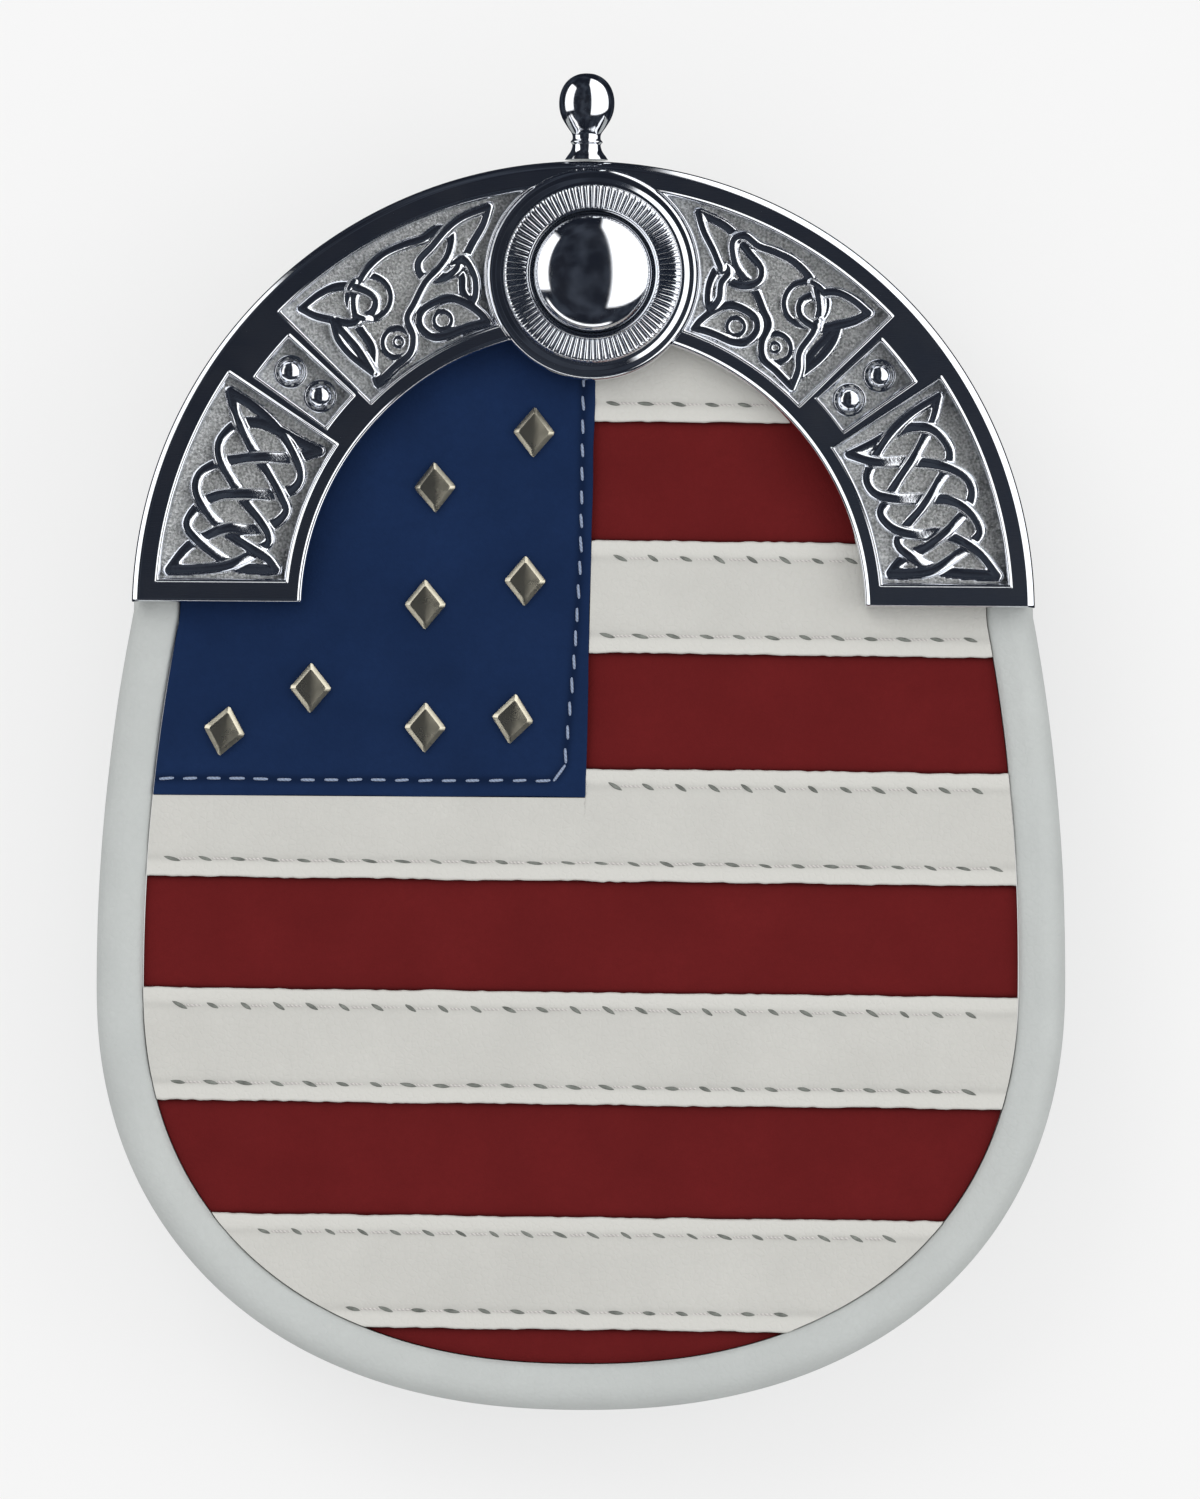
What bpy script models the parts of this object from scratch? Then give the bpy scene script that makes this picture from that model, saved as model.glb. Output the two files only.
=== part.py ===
"""A dress sporran pouch that lies on its back: a cast metal cantle over a hollow leather pouch.

The face looks up along +Z, the finial points along +Y, and +X is the wearer's left as seen from the front.
Shapes are drawn about the centre of the cantle's arch and hang on one empty, which stands where the
origin falls at the middle of the whole outline, on the surface that the pouch lies on.
"""

import math

import bmesh
import bpy
from mathutils import Vector
from mathutils.geometry import delaunay_2d_cdt

# The whole outline
CANTLE_RADIUS = 0.0766
CANTLE_BAND = 0.0289
CANTLE_EDGE_LIFT = 0.0014
POUCH_HALF_WIDTH = 0.0825
POUCH_WIDEST_DROP = 0.0624
POUCH_BOTTOM_DROP = 0.1357
POUCH_LOWER_POWER = 2.25
FINIAL_HEIGHT = 0.0150

# The pouch's depth
POUCH_DEPTH = 0.0364
BACK_RISE = 0.0140
BACK_RISE_POWER = 1.3
BACK_FLAT_DROP = 0.0750
PIECE_GAP = 0.0003

# Leather walls and the rolled rim
WALL_LEATHER = 0.0016
STRIPE_LEATHER = 0.0013
RIM_WIDTH = 0.0080
BACK_ROLL_WIDTH = 0.0066
PANEL_SINK = 0.0031
PANEL_CROWN = 0.0015

# White stripes, from the top one down, and the blue canton. A slip is how low a stripe is sewn, in pitches.
STRIPE_WIDTH = 0.0191
STRIPE_PITCH = 0.0386
STRIPE_SLIPS = [0.000, 0.021, 0.027, 0.012, 0.004]
FIRST_STRIPE_EDGE = 0.0327
STRIPE_TILT = math.radians(0.3)
CANTON_TOP = 0.0510
CANTON_BOTTOM = -0.0313
CANTON_RIGHT_AT_TOP = 0.0019
CANTON_RIGHT_AT_BOTTOM = 0.0005

# Diamond studs on the canton
STUD_WIDTH = 0.0072
STUD_LENGTH = 0.0088
STUD_HEIGHT = 0.0021
STUD_SKIRT = 0.0004

# The pouch's back: mouth, flap, snap and strap loops
MOUTH_HALF_WIDTH = 0.0360
MOUTH_BOTTOM = 0.0120
MOUTH_HEIGHT = 0.0320
FLAP_HALF_WIDTH = 0.0405
FLAP_TOP = 0.0540
FLAP_BOTTOM = -0.0280
FLAP_CORNER = 0.0140
SNAP_RADIUS = 0.0060
SNAP_THICKNESS = 0.0010
SNAP_LIFT = 0.0085
LOOP_INSET = 0.0335
LOOP_WIDTH = 0.0140
LOOP_BOTTOM = 0.0090
LOOP_LENGTH = 0.0320
LOOP_FOOT = 0.0045

# The cantle's casting
CANTLE_HEIGHT = 0.0053
FRAME_DROP = 0.0006
SKIRT_DROP = 0.0007
SKIRT_WALL = 0.0020
POCKET_DEPTH = 0.0022
OUTER_FRAME = 0.0044
INNER_FRAME = 0.0033
BOTTOM_FRAME = 0.0039
LOWER_POCKET_TOP = math.radians(33.5)
STUD_POCKET_BOTTOM = math.radians(35.6)
STUD_POCKET_TOP = math.radians(42.6)
STUD_POCKET_INSET = 0.0040
UPPER_POCKET_BOTTOM = math.radians(44.6)
POCKET_SLOPE = 0.0003
POCKET_MARGIN = 0.0015
STRAND_WIDTH = 0.0021
STRAND_CREST = 0.45
STRAND_HEIGHT = 0.0011
WEAVE_HEIGHT = 0.0003
SMALL_DOME_RADIUS = 0.0022

# The boss and the finial
BOSS_DROP = 0.0192
BOSS_SIDE_OFFSET = 0.0012
LOBE_RADIUS = 0.0180
POCKET_TO_LOBE = 0.0004
RING_OUTER_RADIUS = 0.0151
RING_INNER_RADIUS = 0.0106
RING_HEIGHT = 0.0032
RING_EDGE = 0.80
REED_COUNT = 84
REED_DEPTH = 0.0004
DOME_RADIUS = 0.0102
DOME_RISE = 0.0052
DOME_SEAT = 0.0022
FINIAL_RADIUS = 0.0047

# Facets
OUTLINE_STEPS = 44
ARCH_STEPS = 36
ROUND_STEPS = 20
LOBE_STEPS = 30
STRAND_STEP = 0.0035

# Plans are triangulated in millimetres, and points closer than this there are one
PLAN_SCALE = 1000.0
PLAN_MERGE = 0.004

FRONT_PANEL_Z = POUCH_DEPTH - PANEL_SINK
STRIPE_TOP = FRONT_PANEL_Z + PANEL_CROWN + PIECE_GAP + STRIPE_LEATHER
CANTLE_Z = max(POUCH_DEPTH, STRIPE_TOP) + PIECE_GAP
FRAME_Z = CANTLE_Z + CANTLE_HEIGHT - FRAME_DROP
INNER_RADIUS = CANTLE_RADIUS - CANTLE_BAND
BOSS_DISTANCE = CANTLE_RADIUS - BOSS_DROP
LOOP_MIDDLE = POUCH_HALF_WIDTH - LOOP_INSET
CENTRE_Y = (POUCH_BOTTOM_DROP - CANTLE_RADIUS - FINIAL_HEIGHT) / 2

# The gusset's outer face, from the front seam round to the back seam. Inset is a share of the rim's width at
# the front and of the back roll's width at the back. Height is a share of the panel's sink below the roll's
# top at the front, of the side wall's height at the side, and of the wall's thickness at the back.
GUSSET_SECTION = [
    {"zone": "front", "inset": 1.00, "height": 0.92},
    {"zone": "front", "inset": 0.88, "height": 0.34},
    {"zone": "front", "inset": 0.68, "height": 0.06},
    {"zone": "front", "inset": 0.46, "height": 0.00},
    {"zone": "front", "inset": 0.24, "height": 0.24},
    {"zone": "front", "inset": 0.08, "height": 0.80},
    {"zone": "front", "inset": 0.00, "height": 1.70},
    {"zone": "side", "inset": 0.10, "height": 0.62},
    {"zone": "side", "inset": 0.18, "height": 0.36},
    {"zone": "back", "inset": 0.10, "height": 2.60},
    {"zone": "back", "inset": 0.20, "height": 0.90},
    {"zone": "back", "inset": 0.55, "height": 0.00},
    {"zone": "back", "inset": 1.00, "height": 0.00},
]

# The finial's outline from its foot up: radius as a share of the ball's, height as a share of the whole.
FINIAL_OUTLINE = [
    {"radius": 0.72, "height": 0.00},
    {"radius": 0.72, "height": 0.05},
    {"radius": 0.60, "height": 0.11},
    {"radius": 0.53, "height": 0.20},
    {"radius": 0.54, "height": 0.29},
    {"radius": 0.72, "height": 0.38},
    {"radius": 0.87, "height": 0.47},
    {"radius": 0.97, "height": 0.56},
    {"radius": 1.00, "height": 0.66},
    {"radius": 0.96, "height": 0.76},
    {"radius": 0.83, "height": 0.85},
    {"radius": 0.62, "height": 0.93},
    {"radius": 0.30, "height": 0.985},
]

# Diamond studs: shares of the canton's width and height from its lower right corner, and a lean in degrees.
STUD_PLACES = [
    {"left": 0.145, "up": 0.753, "lean": -1.5},
    {"left": 0.382, "up": 0.638, "lean": 2.0},
    {"left": 0.158, "up": 0.446, "lean": -1.0},
    {"left": 0.399, "up": 0.396, "lean": 0.0},
    {"left": 0.672, "up": 0.222, "lean": -1.0},
    {"left": 0.879, "up": 0.132, "lean": -11.0},
    {"left": 0.392, "up": 0.142, "lean": -1.0},
    {"left": 0.180, "up": 0.161, "lean": -7.0},
]
CANTON_SPREAD = 0.0700

# The upper panels' leaf knot: control points in shares of the panel, along it from its lower border and
# across it from its inner border. A sharp point is a leaf's tip.
LEAF_KNOT = [
    {"along": 0.50, "across": 0.70, "sharp": False},
    {"along": 0.76, "across": 0.80, "sharp": False},
    {"along": 1.02, "across": 1.00, "sharp": True},
    {"along": 0.84, "across": 0.64, "sharp": False},
    {"along": 0.66, "across": 0.44, "sharp": False},
    {"along": 0.80, "across": 0.10, "sharp": False},
    {"along": 1.00, "across": 0.00, "sharp": True},
    {"along": 0.84, "across": 0.38, "sharp": False},
    {"along": 0.50, "across": 0.30, "sharp": False},
    {"along": 0.18, "across": 0.36, "sharp": False},
    {"along": 0.00, "across": 0.00, "sharp": True},
    {"along": 0.26, "across": 0.08, "sharp": False},
    {"along": 0.34, "across": 0.46, "sharp": False},
    {"along": 0.20, "across": 0.72, "sharp": False},
    {"along": 0.00, "across": 1.00, "sharp": True},
    {"along": 0.26, "across": 0.90, "sharp": False},
]
KNOT_RING = {"along": 0.50, "across": 0.50, "long": 0.27, "wide": 0.33, "points": 10}

# The lower panels' plait: one strand through a tip in each corner, with three round loops on each side.
LOWER_KNOT = [
    {"along": 0.98, "across": 1.00, "sharp": True},
    {"along": 0.98, "across": 0.70, "sharp": False},
    {"along": 0.94, "across": 0.42, "sharp": False},
    {"along": 0.85, "across": 0.18, "sharp": False},
    {"along": 0.74, "across": 0.04, "sharp": False},
    {"along": 0.62, "across": 0.06, "sharp": False},
    {"along": 0.54, "across": 0.22, "sharp": False},
    {"along": 0.49, "across": 0.45, "sharp": False},
    {"along": 0.44, "across": 0.68, "sharp": False},
    {"along": 0.36, "across": 0.83, "sharp": False},
    {"along": 0.25, "across": 0.90, "sharp": False},
    {"along": 0.18, "across": 0.80, "sharp": False},
    {"along": 0.11, "across": 0.62, "sharp": False},
    {"along": 0.03, "across": 0.40, "sharp": False},
    {"along": 0.01, "across": 0.18, "sharp": False},
    {"along": 0.01, "across": 0.00, "sharp": True},
    {"along": 0.10, "across": 0.12, "sharp": False},
    {"along": 0.20, "across": 0.42, "sharp": False},
    {"along": 0.30, "across": 0.68, "sharp": False},
    {"along": 0.41, "across": 0.88, "sharp": False},
    {"along": 0.51, "across": 0.92, "sharp": False},
    {"along": 0.60, "across": 0.81, "sharp": False},
    {"along": 0.68, "across": 0.62, "sharp": False},
    {"along": 0.75, "across": 0.42, "sharp": False},
    {"along": 0.83, "across": 0.18, "sharp": False},
    {"along": 0.97, "across": 0.00, "sharp": True},
    {"along": 0.95, "across": 0.22, "sharp": False},
    {"along": 0.94, "across": 0.44, "sharp": False},
    {"along": 0.91, "across": 0.64, "sharp": False},
    {"along": 0.84, "across": 0.80, "sharp": False},
    {"along": 0.72, "across": 0.86, "sharp": False},
    {"along": 0.63, "across": 0.79, "sharp": False},
    {"along": 0.55, "across": 0.63, "sharp": False},
    {"along": 0.44, "across": 0.43, "sharp": False},
    {"along": 0.33, "across": 0.22, "sharp": False},
    {"along": 0.23, "across": 0.12, "sharp": False},
    {"along": 0.14, "across": 0.20, "sharp": False},
    {"along": 0.04, "across": 0.42, "sharp": False},
    {"along": 0.01, "across": 0.66, "sharp": False},
    {"along": 0.00, "across": 1.00, "sharp": True},
    {"along": 0.12, "across": 0.86, "sharp": False},
    {"along": 0.20, "across": 0.70, "sharp": False},
    {"along": 0.26, "across": 0.52, "sharp": False},
    {"along": 0.27, "across": 0.33, "sharp": False},
    {"along": 0.33, "across": 0.13, "sharp": False},
    {"along": 0.45, "across": 0.04, "sharp": False},
    {"along": 0.54, "across": 0.12, "sharp": False},
    {"along": 0.65, "across": 0.30, "sharp": False},
    {"along": 0.76, "across": 0.55, "sharp": False},
    {"along": 0.88, "across": 0.82, "sharp": False},
]

BUILD_CENTRE = "sporran"


def clear_scene():
    for old in list(bpy.data.objects):
        bpy.data.objects.remove(old, do_unlink=True)


def material(name, colour, roughness, metallic=0.0):
    made = bpy.data.materials.new(name)
    made.use_nodes = True
    shader = made.node_tree.nodes["Principled BSDF"]
    shader.inputs["Base Color"].default_value = (*colour, 1.0)
    shader.inputs["Roughness"].default_value = roughness
    shader.inputs["Metallic"].default_value = metallic
    return made


def make_object(name, points, faces, finish=None, helper=False):
    """One closed mesh, hung on the sporran's empty. A helper only trims other pieces."""
    mesh = bpy.data.meshes.new(name)
    mesh.from_pydata([tuple(point) for point in points], [], faces)
    shape = bmesh.new()
    shape.from_mesh(mesh)
    bmesh.ops.recalc_face_normals(shape, faces=shape.faces)
    shape.to_mesh(mesh)
    shape.free()
    made = bpy.data.objects.new(name, mesh)
    bpy.context.scene.collection.objects.link(made)
    made.parent = bpy.data.objects[BUILD_CENTRE]
    if finish:
        mesh.materials.append(finish)
        mesh.shade_smooth()
        mesh.set_sharp_from_angle(angle=math.radians(35))
    if helper:
        made.hide_render = True
        made.display_type = "WIRE"
    return made


def trim(target, tool, operation):
    change = target.modifiers.new(operation.lower() + "_" + tool.name, "BOOLEAN")
    change.operation = operation
    change.object = tool


def bridged(sections, closed):
    """Points and faces of a body through like sections, each a loop of points. An open run gets flat ends."""
    count = len(sections[0])
    points = [point for section in sections for point in section]
    faces = []
    runs = len(sections) if closed else len(sections) - 1
    for i in range(runs):
        here, there = i * count, (i + 1) % len(sections) * count
        for k in range(count):
            after = (k + 1) % count
            faces.append((here + k, here + after, there + after, there + k))
    if not closed:
        faces.append(tuple(range(count)))
        faces.append(tuple(reversed(range(len(points) - count, len(points)))))
    return points, faces


def turned(outline, steps, place):
    """A body turned round an axis, through rings of (radius, height). place maps (across, other, height)."""
    rings = []
    for radius, height in outline:
        turns = [2 * math.pi * k / steps for k in range(steps)]
        rings.append([place(radius * math.cos(a), radius * math.sin(a), height) for a in turns])
    return bridged(rings, closed=False)


def back_face(y):
    """Height of the back leather's outer face: flat on the table low down, and rising towards the cantle."""
    share = (y + BACK_FLAT_DROP) / (CANTLE_RADIUS + BACK_FLAT_DROP)
    return BACK_RISE * max(share, 0.0) ** BACK_RISE_POWER


def front_face(x, y):
    """Height of the front leather's outer face, gently crowned."""
    half_length = (CANTLE_RADIUS + POUCH_BOTTOM_DROP) / 2
    along = (y - CANTLE_RADIUS + half_length) / half_length
    across = x / POUCH_HALF_WIDTH
    return FRONT_PANEL_Z + PANEL_CROWN * max(0.0, 1 - along**2) * max(0.0, 1 - across**2)


def half_width(y):
    """Half the pouch's width at a height: the cantle's circle, a long flank, then a full round bottom."""
    if y >= 0:
        return math.sqrt(max(CANTLE_RADIUS**2 - y**2, 0.0))
    if y >= -POUCH_WIDEST_DROP:
        narrowing = 1 - (CANTLE_RADIUS / POUCH_HALF_WIDTH) ** 2
        rise = (y + POUCH_WIDEST_DROP) / POUCH_WIDEST_DROP
        return POUCH_HALF_WIDTH * math.sqrt(1 - narrowing * rise**2)
    fall = -(y + POUCH_WIDEST_DROP) / (POUCH_BOTTOM_DROP - POUCH_WIDEST_DROP)
    return POUCH_HALF_WIDTH * max(1 - min(fall, 1.0) ** POUCH_LOWER_POWER, 0.0) ** (1 / POUCH_LOWER_POWER)


def pouch_outline():
    """The pouch's outline from its lowest point, anticlockwise."""
    quarter = OUTLINE_STEPS // 4
    bottom_height = POUCH_BOTTOM_DROP - POUCH_WIDEST_DROP
    power = 2 / POUCH_LOWER_POWER
    right = []
    for k in range(quarter + 1):
        a = math.pi / 2 * k / quarter
        x = POUCH_HALF_WIDTH * math.sin(a) ** power
        right.append((x, -POUCH_WIDEST_DROP - bottom_height * math.cos(a) ** power))
    flank_steps = quarter // 3
    for k in range(1, flank_steps):
        y = -POUCH_WIDEST_DROP * (1 - k / flank_steps)
        right.append((half_width(y), y))
    for k in range(quarter):
        a = math.pi / 2 * k / quarter
        right.append((CANTLE_RADIUS * math.cos(a), CANTLE_RADIUS * math.sin(a)))
    left = [(-x, y) for x, y in right[:0:-1]]
    return right + [(0.0, CANTLE_RADIUS)] + left


def inset_outline(distance):
    """The pouch's outline moved inwards along its normals."""
    outline = [Vector(point) for point in pouch_outline()]
    moved = []
    for k, point in enumerate(outline):
        along = outline[(k + 1) % len(outline)] - outline[k - 1]
        inward = Vector((-along.y, along.x)).normalized()
        moved.append(point + inward * distance)
    return moved


def round_sheet(outline, centre, low, high):
    """A leather sheet inside a star-shaped outline, between two faces given as heights over (x, y)."""
    shares = (0.5, 1.0)
    count = len(outline)
    flat = [Vector(centre)]
    for share in shares:
        flat += [Vector(centre).lerp(Vector(point), share) for point in outline]
    points = [(p.x, p.y, high(p.x, p.y)) for p in flat] + [(p.x, p.y, low(p.x, p.y)) for p in flat]
    under = len(flat)
    faces = []
    for k in range(count):
        after = (k + 1) % count
        faces.append((0, 1 + k, 1 + after))
        faces.append((under, under + 1 + after, under + 1 + k))
        for ring in range(len(shares) - 1):
            a, b = 1 + ring * count, 1 + (ring + 1) * count
            faces.append((a + k, b + k, b + after, a + after))
            faces.append((under + a + k, under + a + after, under + b + after, under + b + k))
        rim = 1 + (len(shares) - 1) * count
        faces.append((rim + k, under + rim + k, under + rim + after, rim + after))
    return points, faces


def row_sheet(rows, low, high):
    """A leather sheet through rows of like counts of (x, y), between two faces given as heights."""
    count, columns = len(rows), len(rows[0])
    flat = [point for row in rows for point in row]
    points = [(x, y, high(x, y)) for x, y in flat] + [(x, y, low(x, y)) for x, y in flat]
    under = len(flat)
    faces = []
    for i in range(count - 1):
        for k in range(columns - 1):
            a, b = i * columns + k, (i + 1) * columns + k
            faces.append((a, a + 1, b + 1, b))
            faces.append((under + a, under + b, under + b + 1, under + a + 1))
    border = list(range(columns))
    border += [i * columns + columns - 1 for i in range(1, count)]
    border += [(count - 1) * columns + k for k in range(columns - 2, -1, -1)]
    border += [i * columns for i in range(count - 2, 0, -1)]
    for here, there in zip(border, border[1:] + border[:1]):
        faces.append((here, under + here, under + there, there))
    return points, faces


def offset_section(section, distance):
    """A section line moved sideways by the wall's thickness, each point along its own normal."""
    moved = []
    for k, point in enumerate(section):
        before, after = section[max(k - 1, 0)], section[min(k + 1, len(section) - 1)]
        along = Vector(after) - Vector(before)
        side = Vector((-along.y, along.x)).normalized()
        moved.append(Vector(point) + side * distance)
    return moved


def gusset_section(y):
    """The gusset's wall as a closed loop of (inset, height) at one place along the outline."""
    low = back_face(y)
    outer = []
    for row in GUSSET_SECTION:
        if row["zone"] == "front":
            outer.append((row["inset"] * RIM_WIDTH, POUCH_DEPTH - row["height"] * PANEL_SINK))
        elif row["zone"] == "side":
            outer.append((row["inset"] * RIM_WIDTH, low + row["height"] * (POUCH_DEPTH - low)))
        else:
            outer.append((row["inset"] * BACK_ROLL_WIDTH, low + row["height"] * WALL_LEATHER))
    inner = offset_section(outer, WALL_LEATHER)[::2]
    return [Vector(point) for point in outer] + inner[::-1]


def make_gusset(finish):
    """The pouch's side wall: a band of leather with a fat roll at the front and a flatter one at the back."""
    outline = [Vector(point) for point in pouch_outline()]
    inner = inset_outline(1.0)
    sections = []
    for point, inward in zip(outline, inner):
        direction = inward - point
        ring = []
        for inset, height in gusset_section(point.y):
            place = point + direction * inset
            ring.append((place.x, place.y, height))
        sections.append(ring)
    points, faces = bridged(sections, closed=True)
    make_object("gusset", points, faces, finish)


def panel_middle():
    return (0.0, (CANTLE_RADIUS - POUCH_BOTTOM_DROP) / 2)


def make_front_panel(finish):
    outline = inset_outline(RIM_WIDTH + PIECE_GAP)
    points, faces = round_sheet(
        outline, panel_middle(), lambda x, y: front_face(x, y) - WALL_LEATHER, front_face
    )
    make_object("front_panel", points, faces, finish)


def overlay_low(x, y):
    return front_face(x, y) + PIECE_GAP


def overlay_high(x, y):
    return overlay_low(x, y) + STRIPE_LEATHER


def canton_right(y):
    share = (y - CANTON_BOTTOM) / (CANTON_TOP - CANTON_BOTTOM)
    return CANTON_RIGHT_AT_BOTTOM + share * (CANTON_RIGHT_AT_TOP - CANTON_RIGHT_AT_BOTTOM)


def stripe_rows(top, bottom):
    rows = []
    row_count, columns = 3, 11
    for i in range(row_count):
        y = bottom + (top - bottom) * i / (row_count - 1)
        xs = [POUCH_HALF_WIDTH * (2 * k / (columns - 1) - 1) for k in range(columns)]
        rows.append([(x, y - math.tan(STRIPE_TILT) * x) for x in xs])
    return rows


def make_panel_room():
    """The room inside the rolled rim, which the stripes and the canton fill up to its seam."""
    outline = inset_outline(RIM_WIDTH + PIECE_GAP)
    levels = (FRONT_PANEL_Z - WALL_LEATHER, STRIPE_TOP + WALL_LEATHER)
    sections = [[(point.x, point.y, z) for point in outline] for z in levels]
    points, faces = bridged(sections, closed=False)
    return make_object("panel_room", points, faces, helper=True)


def make_stripes(finish, panel_room, canton_cutter):
    """White stripes sewn across the front panel. Those beside the blue canton stop at its edge."""
    for number, slip in enumerate(STRIPE_SLIPS):
        bottom = FIRST_STRIPE_EDGE - (number + slip) * STRIPE_PITCH
        top = min(bottom + STRIPE_WIDTH, CANTLE_RADIUS - RIM_WIDTH - STRIPE_WIDTH / 2)
        points, faces = row_sheet(stripe_rows(top, bottom), overlay_low, overlay_high)
        stripe = make_object("white_stripe_" + str(number + 1), points, faces, finish)
        trim(stripe, panel_room, "INTERSECT")
        if top > CANTON_BOTTOM - STRIPE_WIDTH / 4:
            trim(stripe, canton_cutter, "DIFFERENCE")


def make_canton_cutter():
    """The room that the canton takes, with the gap round it."""
    low_y, high_y = CANTON_BOTTOM - PIECE_GAP, CANTON_TOP + STRIPE_WIDTH
    far_left = -2 * POUCH_HALF_WIDTH
    corners = [
        (far_left, low_y),
        (canton_right(low_y) + PIECE_GAP, low_y),
        (canton_right(high_y) + PIECE_GAP, high_y),
        (far_left, high_y),
    ]
    levels = (FRONT_PANEL_Z - WALL_LEATHER, STRIPE_TOP + WALL_LEATHER)
    sections = [[(x, y, z) for x, y in corners] for z in levels]
    points, faces = bridged(sections, closed=False)
    return make_object("canton_cutter", points, faces, helper=True)


def make_canton(finish, panel_room):
    rows = []
    row_count, columns = 6, 5
    for i in range(row_count):
        y = CANTON_BOTTOM + (CANTON_TOP - CANTON_BOTTOM) * i / (row_count - 1)
        left, right = -POUCH_HALF_WIDTH, canton_right(y)
        rows.append([(left + (right - left) * k / (columns - 1), y) for k in range(columns)])
    points, faces = row_sheet(rows, overlay_low, overlay_high)
    canton = make_object("canton", points, faces, finish)
    trim(canton, panel_room, "INTERSECT")


def make_diamond_studs(finish):
    """Pressed metal studs: a thin upright skirt, a steep bevel and a shallow pyramid."""
    rings = [(1.0, 0.0), (1.0, STUD_SKIRT), (0.74, 0.70 * STUD_HEIGHT)]
    height = CANTON_TOP - CANTON_BOTTOM
    for number, row in enumerate(STUD_PLACES):
        y = CANTON_BOTTOM + row["up"] * height
        x = canton_right(y) - row["left"] * CANTON_SPREAD
        lean = math.radians(row["lean"])
        foot = max(overlay_high(x + dx, y + dy) for dx, dy in stud_corners(lean, 1.0)) + PIECE_GAP
        sections = []
        for share, rise in rings:
            sections.append([(x + dx, y + dy, foot + rise) for dx, dy in stud_corners(lean, share)])
        points, faces = bridged(sections, closed=False)
        faces.pop()
        tip = len(points)
        points.append((x, y, foot + STUD_HEIGHT))
        top = tip - 4
        faces += [(top + k, top + (k + 1) % 4, tip) for k in range(4)]
        make_object("diamond_stud_" + str(number + 1), points, faces, finish)


def stud_corners(lean, share):
    corners = [(STUD_WIDTH / 2, 0.0), (0.0, STUD_LENGTH / 2), (-STUD_WIDTH / 2, 0.0), (0.0, -STUD_LENGTH / 2)]
    turn_x, turn_y = math.cos(lean), math.sin(lean)
    return [(share * (x * turn_x - y * turn_y), share * (x * turn_y + y * turn_x)) for x, y in corners]


def make_back_panel(finish):
    """The back leather, with the pouch's mouth cut through it."""
    outline = inset_outline(BACK_ROLL_WIDTH + PIECE_GAP)
    points, faces = round_sheet(
        outline, panel_middle(), lambda x, y: back_face(y), lambda x, y: back_face(y) + WALL_LEATHER
    )
    panel = make_object("back_panel", points, faces, finish)
    corner = MOUTH_HEIGHT / 4
    mouth = rounded_rectangle(MOUTH_HALF_WIDTH, MOUTH_BOTTOM, MOUTH_BOTTOM + MOUTH_HEIGHT, corner, corner)
    levels = (-BACK_RISE, 2 * BACK_RISE + WALL_LEATHER)
    sections = [[(x, y, z) for x, y in mouth] for z in levels]
    points, faces = bridged(sections, closed=False)
    trim(panel, make_object("mouth_cutter", points, faces, helper=True), "DIFFERENCE")


def rounded_rectangle(half, bottom, top, low_corner, high_corner):
    """A rectangle's outline with round corners, anticlockwise from its lower right corner."""
    steps = 4
    corners = [
        (half - low_corner, bottom + low_corner, low_corner, -90),
        (half - high_corner, top - high_corner, high_corner, 0),
        (high_corner - half, top - high_corner, high_corner, 90),
        (low_corner - half, bottom + low_corner, low_corner, 180),
    ]
    outline = []
    for x, y, radius, start in corners:
        for k in range(steps + 1):
            a = math.radians(start + 90 * k / steps)
            outline.append((x + radius * math.cos(a), y + radius * math.sin(a)))
    return outline


def flap_high(x, y):
    return back_face(y) - PIECE_GAP


def flap_low(x, y):
    return flap_high(x, y) - WALL_LEATHER


def make_flap_and_snap(leather, metal):
    """The flap lies shut over the mouth, and its snap holds its lower edge."""
    rows = []
    corner_steps, long_steps, columns = 4, 4, 7
    for k in range(corner_steps + long_steps + 1):
        turn = math.pi / 2 * min(k / corner_steps, 1.0)
        y = FLAP_BOTTOM + FLAP_CORNER * (1 - math.cos(turn))
        y += (FLAP_TOP - FLAP_BOTTOM - FLAP_CORNER) * max(k - corner_steps, 0) / long_steps
        half = FLAP_HALF_WIDTH - FLAP_CORNER * (1 - math.sin(turn))
        rows.append([(half * (2 * j / (columns - 1) - 1), y) for j in range(columns)])
    points, faces = row_sheet(rows, flap_low, flap_high)
    make_object("back_flap", points, faces, leather)
    middle = FLAP_BOTTOM + SNAP_LIFT
    outline = [(SNAP_RADIUS, 0.0), (SNAP_RADIUS, SNAP_THICKNESS * 0.6), (SNAP_RADIUS * 0.8, SNAP_THICKNESS)]

    def place(across, along, height):
        y = middle + along
        return (across, y, flap_low(across, y) - PIECE_GAP - height)

    points, faces = turned(outline, ROUND_STEPS // 2, place)
    make_object("flap_snap", points, faces, metal)


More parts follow.
